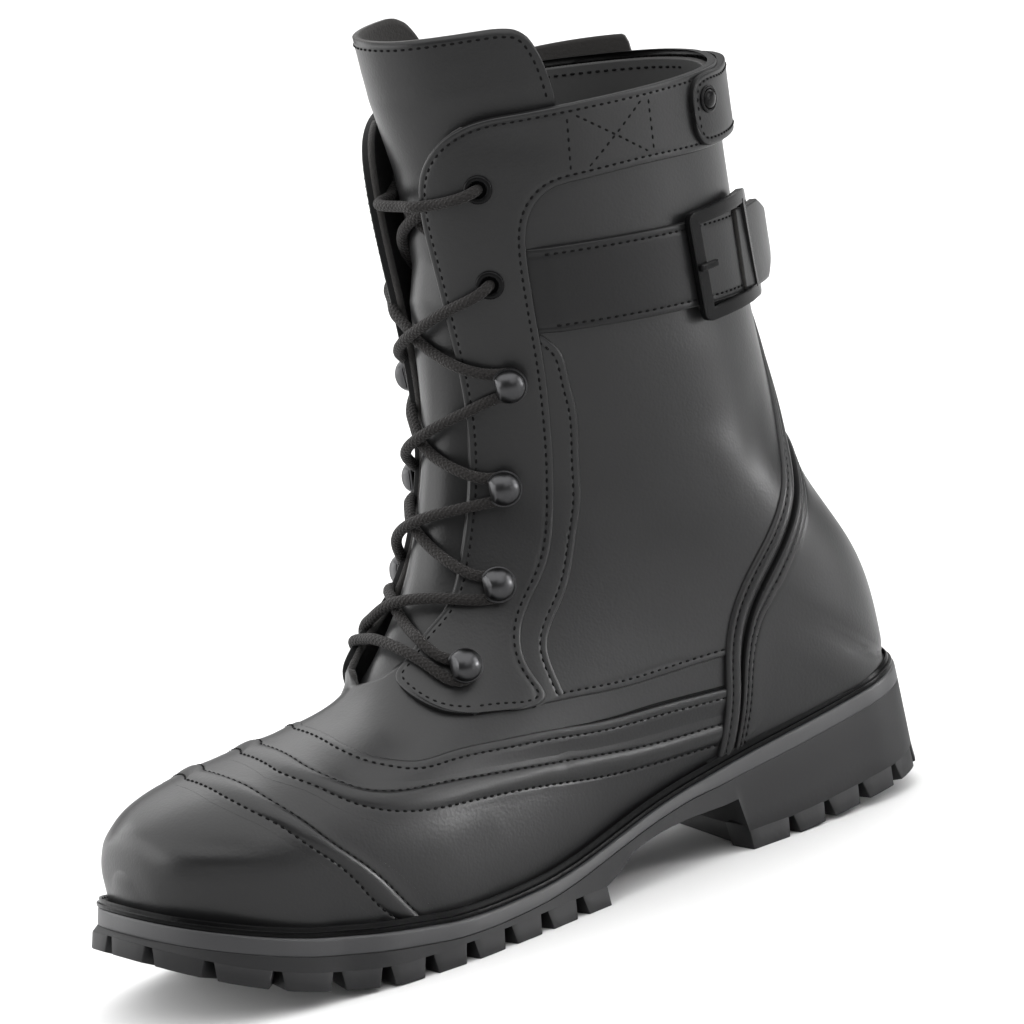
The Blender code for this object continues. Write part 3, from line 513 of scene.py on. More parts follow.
def find(flat):
    """The t and s at which the outer side shows rows of x and z from the side."""
    flat = np.asarray(flat, float).reshape(-1, 2)
    t, s, seen = chart()
    near = np.array([np.argmin(((seen - spot) ** 2).sum(1)) for spot in flat])
    t, s = t[near], s[near]
    for _ in range(8):
        miss = flat - last(t, s)[:, (0, 2)]
        by_t = (last(t + 0.01, s) - last(t - 0.01, s))[:, (0, 2)] / 0.02
        by_s = (last(t, np.minimum(s + 0.002, 1)) - last(t, np.maximum(s - 0.002, 0)))[:, (0, 2)] / 0.004
        det = by_t[:, 0] * by_s[:, 1] - by_t[:, 1] * by_s[:, 0]
        det = np.where(np.abs(det) < 5, np.inf, det)
        step_t = (miss[:, 0] * by_s[:, 1] - miss[:, 1] * by_s[:, 0]) / det
        step_s = (by_t[:, 0] * miss[:, 1] - by_t[:, 1] * miss[:, 0]) / det
        t, s = t + np.clip(step_t, -0.1, 0.1), np.clip(s + np.clip(step_s, -0.02, 0.02), 0, 1)
    return np.stack([t, s], -1)


def run_of(points):
    """Distance from the first point along a line."""
    return np.concatenate([[0], np.cumsum(np.linalg.norm(np.diff(points, axis=0), axis=1))])


def even(line, gap=None, count=None):
    """The same line on the last with its points equally far apart."""
    run = run_of(last(*line.T))
    count = count or max(3, int(round(run[-1] / gap)) + 1)
    at = np.linspace(0, run[-1], count)
    return np.stack([np.interp(at, run, line[:, k]) for k in (0, 1)], -1)


def through(spots, gap=1.0):
    """Smooth line on the last through a few places."""
    spots = np.asarray(spots, float)
    run = run_of(last(*spots.T))
    return even(flow(run, spots)(np.linspace(0, run[-1], 600)), gap)


def seen(table, gap=1.0):
    """Smooth line on the outer side through points seen from the side, without the evening out."""
    table = np.asarray(table, float)
    run = run_of(table)
    return find(flow(run, table)(np.linspace(0, run[-1], int(run[-1] / gap) + 2)))


def trace(table, *more, gap=1.0):
    """Smooth line on the outer side through points seen from the side, and on to further places."""
    line = seen(table, gap)
    for spot in more:
        share = np.linspace(0, 1, 12)[1:, None]
        line = np.concatenate([line, line[-1] + (np.asarray(spot) - line[-1]) * share])
    return even(line, gap)


def across(table, crest, gap=1.0):
    """Smooth line up the outer side, over the top at a section of its own and down the inner side."""
    half = seen(table, gap)
    half = half[half[:, 1] > 0.14]
    t_end, s_end = half[-1]
    s = np.linspace(s_end, -s_end, 41)[1:-1]
    over_top = np.stack([crest + (t_end - crest) * (s / s_end) ** 2, s], -1)
    line = np.concatenate([half, over_top, half[::-1] * (1, -1)])
    line[:, 0] += 0.28 * (1 - np.exp(np.minimum(line[:, 1], 0) / 0.07))
    return even(line, gap)


def shifted(line, away):
    """A line on the last moved sideways over it, to the left of its run where away is positive."""
    t, s = line.T.copy()
    here = last(t, s)
    side = np.cross(normal(t, s), unit(np.gradient(here, axis=0)))
    target = here + side * np.broadcast_to(np.asarray(away, float), t.shape)[:, None]
    for _ in range(7):
        by_t = (last(t + 0.01, s) - last(t - 0.01, s)) / 0.02
        by_s = (last(t, s + 0.002) - last(t, s - 0.002)) / 0.004
        miss = target - last(t, s)
        a, b, c = (by_t * by_t).sum(-1), (by_t * by_s).sum(-1), (by_s * by_s).sum(-1)
        f, g = (by_t * miss).sum(-1), (by_s * miss).sum(-1)
        det = np.maximum(a * c - b * b, 1.0)
        t = t + np.clip((c * f - b * g) / det, -0.4, 0.4)
        s = s + np.clip((a * g - b * f) / det, -0.06, 0.06)
    return np.stack([t, s], -1)


def grid_faces(rows, columns, wrap=False):
    """Faces over a grid of points counted row by row."""
    i, j = np.meshgrid(np.arange(rows - 1), np.arange(columns if wrap else columns - 1), indexing="ij")
    i, j = i.ravel(), j.ravel()
    k = (j + 1) % columns
    return np.stack([i * columns + j, i * columns + k, (i + 1) * columns + k, (i + 1) * columns + j], -1)


class Form:
    """Points and faces of a mesh while it is put together, with the finish of each face."""

    def __init__(self):
        self.points, self.faces, self.kinds, self.count = [], [], [], 0

    def add(self, points, faces, kinds=0):
        points = np.asarray(points, float).reshape(-1, 3)
        self.faces += [[int(v) + self.count for v in face] for face in faces]
        self.kinds += np.broadcast_to(kinds, len(faces)).tolist()
        self.points.append(points)
        self.count += len(points)
        return self

    def grid(self, points, wrap=False, caps=False, kinds=0):
        """Adds faces over a grid of points; kinds may give a finish for each column."""
        rows, columns = points.shape[:2]
        faces = grid_faces(rows, columns, wrap).tolist()
        kinds = np.broadcast_to(np.asarray(kinds), (rows - 1, len(faces) // (rows - 1))).ravel().tolist()
        if caps:
            faces += [list(range(columns))[::-1], list(range((rows - 1) * columns, rows * columns))]
            kinds += [0, 0]
        return self.add(points, faces, kinds)


def material(name, colour, rough, metal=0.0, bumps=(), mottle=0.0, sheen=0.0, weave=0.0, shine=0.5):
    """Finish with its own grain: bumps are rows of kind, scale, depth in millimetres."""
    made = bpy.data.materials.get(name + "_finish")
    if made:
        return made
    made = bpy.data.materials.new(name + "_finish")
    made.use_nodes = True
    tree = made.node_tree
    shader = tree.nodes["Principled BSDF"]
    shader.inputs["Base Color"].default_value = (*colour, 1)
    shader.inputs["Roughness"].default_value = rough
    shader.inputs["Metallic"].default_value = metal
    shader.inputs["Specular IOR Level"].default_value = shine
    shader.inputs["Sheen Weight"].default_value = sheen
    where = tree.nodes.new("ShaderNodeTexCoord").outputs["Object"]
    link = tree.links.new
    if mottle:
        noise = tree.nodes.new("ShaderNodeTexNoise")
        noise.inputs["Scale"].default_value = 38
        noise.inputs["Detail"].default_value = 5
        link(where, noise.inputs["Vector"])
        spread = tree.nodes.new("ShaderNodeMapRange")
        spread.inputs["To Min"].default_value = rough - mottle
        spread.inputs["To Max"].default_value = rough + mottle
        link(noise.outputs["Fac"], spread.inputs["Value"])
        link(spread.outputs["Result"], shader.inputs["Roughness"])
    before = None
    for kind, scale, depth in bumps:
        if kind == "cells":
            texture = tree.nodes.new("ShaderNodeTexVoronoi")
            texture.feature = "SMOOTH_F1"
            height = texture.outputs["Distance"]
        else:
            texture = tree.nodes.new("ShaderNodeTexNoise")
            texture.inputs["Detail"].default_value = 4
            height = texture.outputs["Fac"]
        texture.inputs["Scale"].default_value = scale
        link(where, texture.inputs["Vector"])
        bump = tree.nodes.new("ShaderNodeBump")
        bump.inputs["Distance"].default_value = depth * MM
        link(height, bump.inputs["Height"])
        if before:
            link(before.outputs["Normal"], bump.inputs["Normal"])
        before = bump
    if weave:
        before = woven(tree, weave, before)
    if before:
        link(before.outputs["Normal"], shader.inputs["Normal"])
    return made


def fine(*rows):
    """Bumps of plain noise: scale and depth of each."""
    return tuple(("noise", *row) for row in rows)


def woven(tree, depth, before):
    """Braid that follows the cord's own map: strands crossing in two directions."""
    link = tree.links.new
    chart_of = tree.nodes.new("ShaderNodeUVMap")
    chart_of.uv_map = "run"
    heights = []
    for lean in (1, -1):
        turn = tree.nodes.new("ShaderNodeMapping")
        turn.inputs["Scale"].default_value = (2 * math.pi / 10 * 6, lean * 2 * math.pi / 2.1, 1)
        link(chart_of.outputs["UV"], turn.inputs["Vector"])
        wave = tree.nodes.new("ShaderNodeTexWave")
        wave.bands_direction = "DIAGONAL"
        wave.inputs["Scale"].default_value = 1.0
        link(turn.outputs["Vector"], wave.inputs["Vector"])
        heights.append(wave.outputs["Fac"])
    most = tree.nodes.new("ShaderNodeMath")
    most.operation = "MAXIMUM"
    link(heights[0], most.inputs[0])
    link(heights[1], most.inputs[1])
    bump = tree.nodes.new("ShaderNodeBump")
    bump.inputs["Distance"].default_value = depth * MM
    link(most.outputs["Value"], bump.inputs["Height"])
    if before:
        link(before.outputs["Normal"], bump.inputs["Normal"])
    return bump


def finish_of(name):
    """The material of one kind of surface."""
    looks = bpy.context.scene.boot
    grain = (("cells", 1150, 0.035), ("noise", 420, 0.02), ("noise", 60, 0.08))
    kinds = {
        "leather": dict(colour=looks.leather, rough=0.37, shine=0.32, bumps=grain, mottle=0.08),
        "trim": dict(colour=looks.leather, rough=0.42, shine=0.2, bumps=grain, mottle=0.08),
        # Near-black finish on the rolled edges of laid-on panels: painted shade of the crease along each edge
        "edge_painted_shade": dict(colour=looks.black_metal, rough=0.7, shine=0.15, bumps=fine((1500, 0.12))),
        "lining": dict(colour=looks.lining, rough=0.6, shine=0.3, bumps=fine((500, 0.06)), mottle=0.05),
        "raw_edge": dict(colour=looks.raw_edge, rough=0.95, shine=0.3, sheen=0.1, bumps=fine((1500, 0.35))),
        "flesh": dict(colour=looks.raw_edge, rough=0.95, shine=0.3, sheen=0.08, bumps=fine((900, 0.2))),
        "thread": dict(colour=looks.thread, rough=0.85, shine=0.12, bumps=fine((2200, 0.05))),
        "lace": dict(
            colour=looks.lace, rough=0.8, shine=0.22, sheen=0.04, weave=0.3, bumps=fine((2600, 0.03)),
        ),
        "band": dict(
            colour=looks.band, rough=0.5, shine=0.36, bumps=fine((700, 0.03), (90, 0.05)), mottle=0.05,
        ),
        "tread": dict(
            colour=looks.tread, rough=0.62, shine=0.24, bumps=fine((600, 0.05), (80, 0.08)), mottle=0.06,
        ),
        "welt": dict(colour=looks.thread, rough=0.3, shine=0.06, bumps=fine((420, 0.12))),
        "insole": dict(colour=looks.lining, rough=0.95, shine=0.2, bumps=fine((1800, 0.1))),
        "gunmetal": dict(colour=looks.gunmetal, rough=0.31, metal=1.0, bumps=fine((900, 0.006)), mottle=0.05),
        "black_metal": dict(colour=looks.black_metal, rough=0.27, shine=0.075, bumps=fine((900, 0.01))),
        # Matte black without reflection for the disc inside each eyelet: painted shade of the hole
        "hole_painted_shade": dict(colour=looks.thread, rough=1.0, shine=0.0, bumps=fine((900, 0.02))),
    }
    return material(name, **kinds[name])


def piece(name, form, finishes, replaced=(), angle=35.0):
    """One finished object in metres, with its material, its body and the solids that it stands for."""
    points = (np.concatenate(form.points) - CENTRE) * MM
    mesh = bpy.data.meshes.new(name)
    mesh.from_pydata(points.tolist(), [], form.faces)
    mesh.polygons.foreach_set("material_index", form.kinds)
    work = bmesh.new()
    work.from_mesh(mesh)
    bmesh.ops.remove_doubles(work, verts=work.verts, dist=2e-5)
    bmesh.ops.dissolve_degenerate(work, edges=work.edges, dist=1e-6)
    work.to_mesh(mesh)
    work.free()
    made = bpy.data.objects.new(name, mesh)
    bpy.context.scene.collection.objects.link(made)
    return settle(made, finishes, replaced, angle)


def settle(made, finishes, replaced=(), angle=35.0):
    """Gives an object its finish and its place in the frame."""
    kinds = np.zeros(len(made.data.polygons), np.int32)
    made.data.polygons.foreach_get("material_index", kinds)
    made.data.materials.clear()
    for kind in (finishes,) if isinstance(finishes, str) else finishes:
        made.data.materials.append(finish_of(kind))
    made.data.polygons.foreach_set("material_index", kinds)
    made.data.shade_smooth()
    made.data.set_sharp_from_angle(angle=math.radians(angle))
    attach(made, "root")
    if replaced:
        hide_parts(*replaced)
    return made


def only(made):
    """Selects one object and makes it the active one."""
    bpy.ops.object.select_all(action="DESELECT")
    made.select_set(True)
    bpy.context.view_layer.objects.active = made
    return made


def outwards(made):
    """Turns every face to point out."""
    only(made)
    bpy.ops.object.mode_set(mode="EDIT")
    bpy.ops.mesh.select_all(action="SELECT")
    bpy.ops.mesh.normals_make_consistent(inside=False)
    bpy.ops.object.mode_set(mode="OBJECT")
    return made


def change(made, kind, **settings):
    """Adds a modifier with its settings and applies it."""
    only(made)
    added = made.modifiers.new(kind.lower(), kind)
    for key, value in settings.items():
        setattr(added, key, value)
    bpy.ops.object.modifier_apply(modifier=added.name)
    return made


def eased(made, width, segments, angle):
    """Rounds the edges of an object that are sharper than an angle."""
    limit = {"limit_method": "ANGLE", "angle_limit": math.radians(angle)}
    return change(made, "BEVEL", width=width * MM, segments=segments, **limit)


def frame_of(x_way, y_way, z_way, place):
    """Matrix of a place with its three directions."""
    return Matrix([*zip(x_way, y_way, z_way, place), (0, 0, 0, 1)])


def thick_sheet(name, points, thick, replaced=(), angle=60):
    """A sheet of leather with its flesh side and its raw edges."""
    finishes = ("leather", "flesh", "raw_edge")
    made = piece(name, Form().grid(points), finishes, replaced, angle)
    outwards(made)
    facing(made)
    change(made, "SOLIDIFY", thickness=thick * MM, offset=-1, material_offset=1, material_offset_rim=2)


def mirrored(profile, side):
    """Profile of a strip as one side has it."""
    return [(away * side, lift) for away, lift in profile]


def ribbon(line, section, weight=1.0):
    """Strip along a line on the last; section rows are distance across and height."""
    rows = []
    for away, lift in section:
        rows.append(over(*shifted(line, away).T, lift * weight if lift > 0 else lift + 0 * line[:, 0]))
    return Form().grid(np.stack(rows, 1))


def strip(left, right, section):
    """Strip between two lines on the last; section rows are the share of the way and the height."""
    rows = [over(*(left + (right - left) * share).T, lift) for share, lift in section]
    return Form().grid(np.stack(rows, 1))


ROLLED = ((0, -2.9), (0.05, -0.62), (0.25, -0.18), (0.6, 0), (1.3, 0.03), (1.9, -0.03), (2.3, -0.15),
    (2.7, -0.03),
          (3.8, 0.05), (6, 0))


def panel(left, right, lift, edges_of=(ROLLED, ROLLED), inset=24):
    """Leather between two lines on the last that share their stations, its edges rolled down;
    an edge's rows are distance in and height beside the panel's own."""
    reach = np.maximum(np.linalg.norm(last(*left.T) - last(*right.T), axis=1), 0.5)
    lift = lift + np.zeros(len(reach))
    rows = [(np.minimum(away / reach, 0.5), height) for away, height in edges_of[0]]
    first = np.minimum((edges_of[0][-1][0] + 1 if edges_of[0] else 0) / reach, 0.5)
    final = 1 - np.minimum((edges_of[1][-1][0] + 1 if edges_of[1] else 0) / reach, 0.5)
    between = np.linspace(0, 1, inset)
    between = between[1 if edges_of[0] else 0 : -1 if edges_of[1] else None]
    rows += [(first + (final - first) * share, 0.0) for share in between]
    rows += [(np.maximum(1 - away / reach, 0.5), height) for away, height in edges_of[1][::-1]]
    body = []
    for share, height in rows:
        spots = left + (right - left) * share[:, None]
        body.append(over(*spots.T, np.minimum(lift + height, lift - 2.9 + reach * 0.9)))
    # The two outermost strips of a rolled edge take the second, near-black finish: painted shade along the
    # edge
    kinds = np.zeros(len(rows) - 1, int)
    if edges_of[0]:
        kinds[:2] = 1
    if edges_of[1]:
        kinds[-2:] = 1
    return Form().grid(np.stack(body, 1), kinds=kinds)


def capsules(line_points, outs, pitch, long, thick, sides=6):
    """Stitches along a line of points, each a thread that dips at both ends."""
    run = run_of(line_points)
    count = max(1, int(run[-1] / pitch))
    at = (np.arange(count) + 0.5) * run[-1] / count
    pick = lambda rows: np.stack([np.interp(at, run, rows[:, k]) for k in range(3)], -1)
    spot, out = pick(line_points), unit(pick(outs))
    ahead = unit(pick(np.gradient(line_points, axis=0)))
    side = np.cross(out, ahead)
    rings = ((-0.5, 0.35, -1.5), (-0.36, 0.9, -0.45), (0, 1.05, 0), (0.36, 0.9, -0.45), (0.5, 0.35, -1.5))
    turn = 2 * math.pi * np.arange(sides) / sides
    points = []
    for along, grow, drop in rings:
        middle = spot + ahead * along * long + out * drop * thick
        for angle in turn:
            points.append(middle + grow * thick * (side * math.cos(angle) + out * math.sin(angle)))
    points = np.stack(points, 1).reshape(count, len(rings), sides, 3)
    form = Form()
    single = grid_faces(len(rings), sides, True)
    whole = np.concatenate([single + k * len(rings) * sides for k in range(count)])
    return form.add(points.reshape(-1, 3), whole.tolist())


def joined(forms):
    whole = Form()
    for form in forms:
        whole.add(np.concatenate(form.points), form.faces, form.kinds)
    return whole


@functools.lru_cache(maxsize=None)
def throat_line():
    """Place of the throat's edge at each section, as s; nought where the front is closed."""
    rows = np.linspace(7, COLLAR_ROW, 500)
    columns = np.linspace(0, 0.5, 600)
    t, s = np.meshgrid(rows, columns, indexing="ij")
    points = last(t, s)
    clear = np.abs(points[..., 1]) - np.interp(points[..., 2], THROAT[:, 0], THROAT[:, 1])
    edge = np.array([columns[np.argmax(row >= 0)] for row in clear])
    front = seen(FACING_FRONT)
    first = np.argmin(front[: len(front) // 4, 1])
    front = front[first:]
    front = front[: np.argmax(front[:, 0] > COLLAR_ROW - 0.05)]
    beside = np.interp(rows, np.maximum.accumulate(front[:, 0]), front[:, 1])
    on_facing = rows > front[0, 0]
    return rows, np.where(on_facing, np.minimum(edge + 0.2 * (rows > 14), beside - 0.004), edge)


def throat_s(t):
    return np.interp(t, *throat_line())


def stations():
    """Places along the whole sole from toe to heel, close together where its underside steps."""
    x = (FOOT_START + FOOT_END) / 2 + (FOOT_END - FOOT_START) / 2 * np.cos(np.linspace(0, math.pi, 110))
    breast = HEEL_BREAST + BREAST_RAMP * np.array([-0.4, 0, 0.25, 0.5, 0.75, 1, 1.4])
    ball = TREAD_START - TREAD_RAMP * np.array([-0.1, 0, 0.1, 0.5, 0.9, 1, 1.1])
    return np.sort(np.concatenate([x, breast, ball]))[::-1]


def edges(margin, start=None, stop=None, count=90, push=0.0, even_margin=False, along=None):
    """Outer and inner edge of the sole's plan, a margin outside the upper, from toe to heel."""
    turn = np.linspace(0, math.pi, 721)
    x = (FOOT_START + FOOT_END) / 2 + (FOOT_END - FOOT_START) / 2 * np.cos(turn)
    shares = (1, 1, 1, 1) if even_margin else (HEEL_SHARE, 1, 1, TOE_SHARE)
    share = np.interp(x, (20, 130, 230, FOOT_END), shares)
    sides = []
    for side, sign in ((1, 1), (2, -1)):
        line = np.stack([x, sign * half_width(x, side)], -1)
        way = np.gradient(line, axis=0)
        way[0], way[-1] = (0, sign), (0, -sign)
        out = np.stack([way[:, 1], -way[:, 0]], -1) * sign
        line = line + (margin * share)[:, None] * unit(out)
        line[:, 0] += push * (np.clip(line[:, 0] - ROCKER_START, 0, None) / (FOOT_END - ROCKER_START)) ** 2
        lean = BREAST_LEAN if side == 2 else 0.0
        high = line[0, 0] if stop is None else stop - lean
        low = line[-1, 0] if start is None else start
        lead = np.linspace(0, 1, count)
        if start is None and stop is None:
            lead = (1 - np.cos(lead * math.pi)) / 2
        elif stop is None:
            lead = 1 - np.cos(lead * math.pi / 2)
        else:
            lead = np.sin(lead * math.pi / 2)
        at = high + (low - high) * lead
        if along is not None:
            breast_end, tread_front = HEEL_BREAST + BREAST_RAMP, TREAD_START - TREAD_RAMP
            marks = np.array([FOOT_START, HEEL_BREAST, breast_end, tread_front, FOOT_END])
            leant = np.interp(along, marks, marks - lean * np.array([0, 1, 1, 0, 0]))
            at = np.interp(leant, (FOOT_START, 40, 240, FOOT_END), (low, 40, 240, high))
        sides.append(np.stack([at, np.interp(-at, -line[:, 0], line[:, 1])], -1))
    return sides


def ring(sides, height):
    """Closed loop round the sole at a height that follows x and y."""
    outer, inner = sides
    loop = np.concatenate([outer, inner[-2:0:-1]])
    return np.column_stack([loop, height(*loop.T)])


def stack_of(levels, cap_low=True, cap_top=True):
    """Solid through loops from the top down, closed by strips across the sole."""
    loops = np.stack([ring(sides, height) for sides, height in levels])
    form = Form().grid(loops, wrap=True)
    count = loops.shape[1]
    half = count // 2
    for row, wanted in ((0, cap_top), (len(loops) - 1, cap_low)):
        if wanted:
            for k in range(half):
                a, b, c, d = k, k + 1, (count - k - 1) % count, (count - k) % count
                form.faces.append([row * count + v for v in dict.fromkeys((a, b, c, d))])
                form.kinds.append(0)
    return form


def above_seat(height):
    """Height that follows the sole's top."""
    return lambda x, y: seat_z(x) + height


def tread_low(x, y):
    """Underside of the sole above the lugs: deep under the heel and the ball, thin at the arch."""
    x = np.asarray(x, float)
    plate, deep = band_z(x, 1) - plate_depth(x), floor_z(x) + LUG_DEPTH
    ball = np.clip((x - TREAD_START + TREAD_RAMP) / TREAD_RAMP, 0, 1)
    breast = HEEL_BREAST - BREAST_LEAN * (np.asarray(y) < 0)
    heel = np.clip((breast + BREAST_RAMP - x) / BREAST_RAMP, 0, 1)
    return plate + (deep - plate) * np.maximum(ball, heel)


def lugs():
    """Blocks of tread round the edge of the sole, with tapered gaps between them."""
    form = Form()
    levels = (
        (0.0, WALL_FLOOR, 1.0, 0), (LUG_DEPTH, WALL_LOW, 0.75, 1), (LUG_DEPTH + 2, WALL_LOW - 1.6, 0.4, 1),
    )
    for start, stop, pitch, reach, gaps, end in (
        (TREAD_START, None, TREAD_PITCH, TREAD_REACH, TREAD_GAP, 0.8 * TREAD_PITCH),
        (None, HEEL_BREAST, HEEL_PITCH, HEEL_REACH, HEEL_GAP, 1.15 * HEEL_PITCH),
    ):
        lines = []
        for _, margin, push, _ in levels:
            outer, inner = edges(margin, start, stop, 200, TOE_PUSH * push)
            line = np.concatenate([outer[::-1], inner[1:]] if start else [outer, inner[-2::-1]])
            lines.append(line)
        run = run_of(lines[0])
        total = run[-1]
        wide = np.interp(lines[0][:, 0], (238, 264), (pitch, TOE_PITCH))
        passed = np.concatenate([[0], np.cumsum(np.diff(run) * 2 / (wide[1:] + wide[:-1]))])
        first, final = np.interp((end, total - end), run, passed)
        at = np.linspace(first, final, round(final - first) + 1)
        cuts = np.concatenate([[0], np.interp(at, passed, run), [total]])
        for k in range(len(cuts) - 1):
            rows = []
            for (height, _, _, row), line in zip(levels, lines):
                run = run_of(line)
                first = cuts[k] + (gaps[row] / 2 if k else 0.0)
                final = cuts[k + 1] - (gaps[row] / 2 if k < len(cuts) - 2 else 0.0)
                at = np.linspace(first, final, 5) / total * run[-1]
                spot = np.stack([np.interp(at, run, line[:, c]) for c in (0, 1)], -1)
                way = unit(np.gradient(spot, axis=0))
                into = np.stack([way[:, 1], -way[:, 0]], -1)
                middle = np.stack([np.clip(spot[:, 0], 45, 250), np.zeros(5)], -1)
                into = np.where(((middle - spot) * into).sum(-1, keepdims=True) > 0, into, -into)
                rows.append(np.column_stack([spot, floor_z(spot[:, 0]) + height]))
                deep = spot + into.mean(0) * reach * 0.9
                rows.append(np.column_stack([deep, floor_z(deep[:, 0]) + height]))
            outer_low, inner_low, outer_middle, _, outer_top, inner_top = rows
            loop = np.stack([outer_low, inner_low, inner_top, outer_top, outer_middle], 1)
            form.grid(loop, wrap=True, caps=True)
    return form


def centre_bars():
    """Bars of finer tread inside the ring of lugs, and the bar across the front of the heel."""
    form = Form()
    wide = [sign * (float(half_width(HEEL_BREAST, side)) + 4.6) for side, sign in ((1, 1), (2, -1))]
    corner = [(x, y, z) for z in (0.1, LUG_DEPTH + 1) for x, y in (
        (HEEL_BREAST - BREAST_LEAN - 8, wide[1]), (HEEL_BREAST - BREAST_LEAN, wide[1]),
        (HEEL_BREAST, wide[0]),
        (HEEL_BREAST - 8, wide[0]),
    )]
    form.add(corner, BOX_FACES)
    for first, final, step, half in ((158, 268, 13.0, 20.0), (34, 70, 11.0, 12.0)):
        for x in np.arange(first, final, step):
            room = min(half, float(half_width(x, 1)) - 17, float(half_width(x, 2)) - 17)
            if room < 5:
                continue
            for sign in (1, -1):
                corner = [(x, 1.6 * sign), (x + 5, 1.6 * sign), (x + 9, room * sign), (x + 4, room * sign)]
                low = [(px, py, float(floor_z(px)) + 0.3) for px, py in corner]
                top = [(px, py, float(floor_z(px)) + 6.5) for px, py in corner]
                form.add(low + top, BOX_FACES)
    return form


class BOOT_OT_sole(Operator):
    """Band, tread, welt and insole under the upper"""

    bl_idname = "boot.sole"
    bl_label = "Sole"

    def execute(self, context):
        down = lambda share, more=0.0: (lambda x, y: band_z(x, share) - more)
        low_push, along = TOE_PUSH * 0.3, stations()
        levels = [(edges(BAND_MARGIN - 3, along=along), down(0, -0.1))]
        rounded = ((0, 0.9), (0.04, 0.35), (0.12, 0.05), (0.2, 0), (0.88, 0), (0.96, 0.06), (1, 0.3))
        for share, inward in rounded:
            margin = BAND_MARGIN + (WALL_TOP - BAND_MARGIN) * share - inward
            levels.append((edges(margin, push=low_push * share, along=along), down(share)))
        outwards(piece("sole_band", stack_of(levels), "band", ["midsole"]))
        levels = [(edges(WALL_TOP - 1.5, push=low_push, along=along), down(1, -0.2))]
        levels += [(edges(WALL_TOP - 0.25, push=low_push, along=along), down(1, 0.05))]
        for share in (0.04, 0.35, 0.7, 0.97, 1.0):
            margin = WALL_TOP + (WALL_LOW - WALL_TOP) * share - (0.3 if share == 1 else 0)
            push = low_push + (TOE_PUSH * 0.75 - low_push) * share
            top = down(1, 0.05)
            height = lambda x, y, share=share, top=top: top(x, y) + (tread_low(x, y) - top(x, y)) * share
            levels.append((edges(margin, push=push, along=along), height))
        outwards(piece("tread", stack_of(levels), "tread", ["outsole"]))
        blocks = piece("tread_lugs", joined([lugs(), centre_bars()]), "tread", angle=30)
        outwards(blocks)
        eased(blocks, 0.35, 2, 40)
        blocks.data.set_sharp_from_angle(angle=math.radians(50))
        self.welt()
        levels = [
            (edges(-UPPER_WALL - inward, even_margin=True), above_seat(height))
            for inward, height in ((3, 3.6), (1.6, 3.3), (1.6, 0.3))
        ]
        outwards(piece("insole_pad", stack_of(levels), "insole", ["insole"]))
        return {"FINISHED"}

    def welt(self):
        section = (
            (0.8, 0.3), (0.8, 2.2), (1.5, 2.3), (2.1, 2.5), (2.4, 3.05), (2.8, 3.35), (3.3, 3.3),
            (3.65, 2.9), (3.75, 2.2),
            (4.1, 1.75), (4.8, 1.75), (5.3, 1.5), (5.5, 0.9), (5.4, 0.2),
        )
        loops = np.stack([
            ring(edges(margin, count=120, push=0.9), above_seat(height)) for margin, height in section
        ], 1)
        loops = np.concatenate([loops, loops[:1]])
        outwards(piece("welt_strip", Form().grid(loops, wrap=True), "welt", ["welt"]))


class BOOT_OT_upper(Operator):
    """Leather upper with its lining, shaped over the last"""

    bl_idname = "boot.upper"
    bl_label = "Upper"

    def execute(self, context):
        rows = np.concatenate([
            np.linspace(-1, 0, 9)[:-1], np.linspace(0, 8, 76)[:-1], np.linspace(8, 10.5, 44)[:-1],
            np.linspace(10.5, 14, 34)[:-1], np.linspace(14, 20.2, 56)[:-1],
            np.linspace(20.2, COLLAR_ROW - 0.1, 40),
        ])
        share = np.linspace(0, 1, 72)
        start = throat_s(rows)
        start[rows < 8] = 0
        form = Form()
        for side in (1, -1):
            s = start[:, None] + (1 - start[:, None]) * share[None, :]
            t = np.broadcast_to(rows[:, None], s.shape)
            points = over(t, s * side)
            form.grid(points if side > 0 else points[:, ::-1])
        made = piece("upper_leather", form, ("leather", "lining", "raw_edge"), ["upper"], 60)
        outwards(made)
        change(
            made, "SOLIDIFY", thickness=UPPER_WALL * MM, offset=-1, use_even_offset=False, material_offset=1,
            material_offset_rim=2,
        )
        return {"FINISHED"}


class BOOT_OT_tongue(Operator):
    """Tongue behind the lacing, with a stitched raw top edge"""

    bl_idname = "boot.tongue"
    bl_label = "Tongue"

    def execute(self, context):
        columns = TONGUE_HALF * np.sin(np.linspace(-1, 1, 90) * 1.35) / math.sin(1.35)
        share = np.linspace(0, 1, 130)
        top = tongue_top(columns)
        t = 7.7 + (top[None, :] - 7.7) * share[:, None]
        s = np.broadcast_to(columns[None, :], t.shape)
        points = tongue_points(t, s)
        thick_sheet("tongue_leather", points, 2.0, ["tongue"])
        return {"FINISHED"}


def facing(made):
    """Turns an open sheet so that its faces look away from the middle of the shaft."""
    mesh = made.data
    points = np.array([p.center for p in mesh.polygons])
    ways = np.array([p.normal for p in mesh.polygons])
    middle = np.array([0.09 - 0.1507, 0.0, 0.0])
    away = points - middle
    away[:, 2] = 0.02
    if (ways * away).sum() < 0:
        mesh.flip_normals()


def tongue_top(s):
    """Section at which each column of the tongue ends."""
    z = glide(TONGUE_EDGE)(s)
    rows = np.linspace(20.5, 23, 200)
    return np.array([
        np.interp(height, last(rows, np.full(200, where))[:, 2], rows) for where, height in zip(s, z)
    ])


def tongue_points(t, s):
    """Outside of the tongue, which sinks behind the upper lacing."""
    spot = last(t, s)
    deep = np.interp(t, TONGUE_SINK[:, 0], TONGUE_SINK[:, 1]) * np.exp(-((np.asarray(s) / 0.34) ** 2))
    return spot + normal(t, s) * (crease(spot) - UPPER_WALL - 0.4 - deep)[..., None]


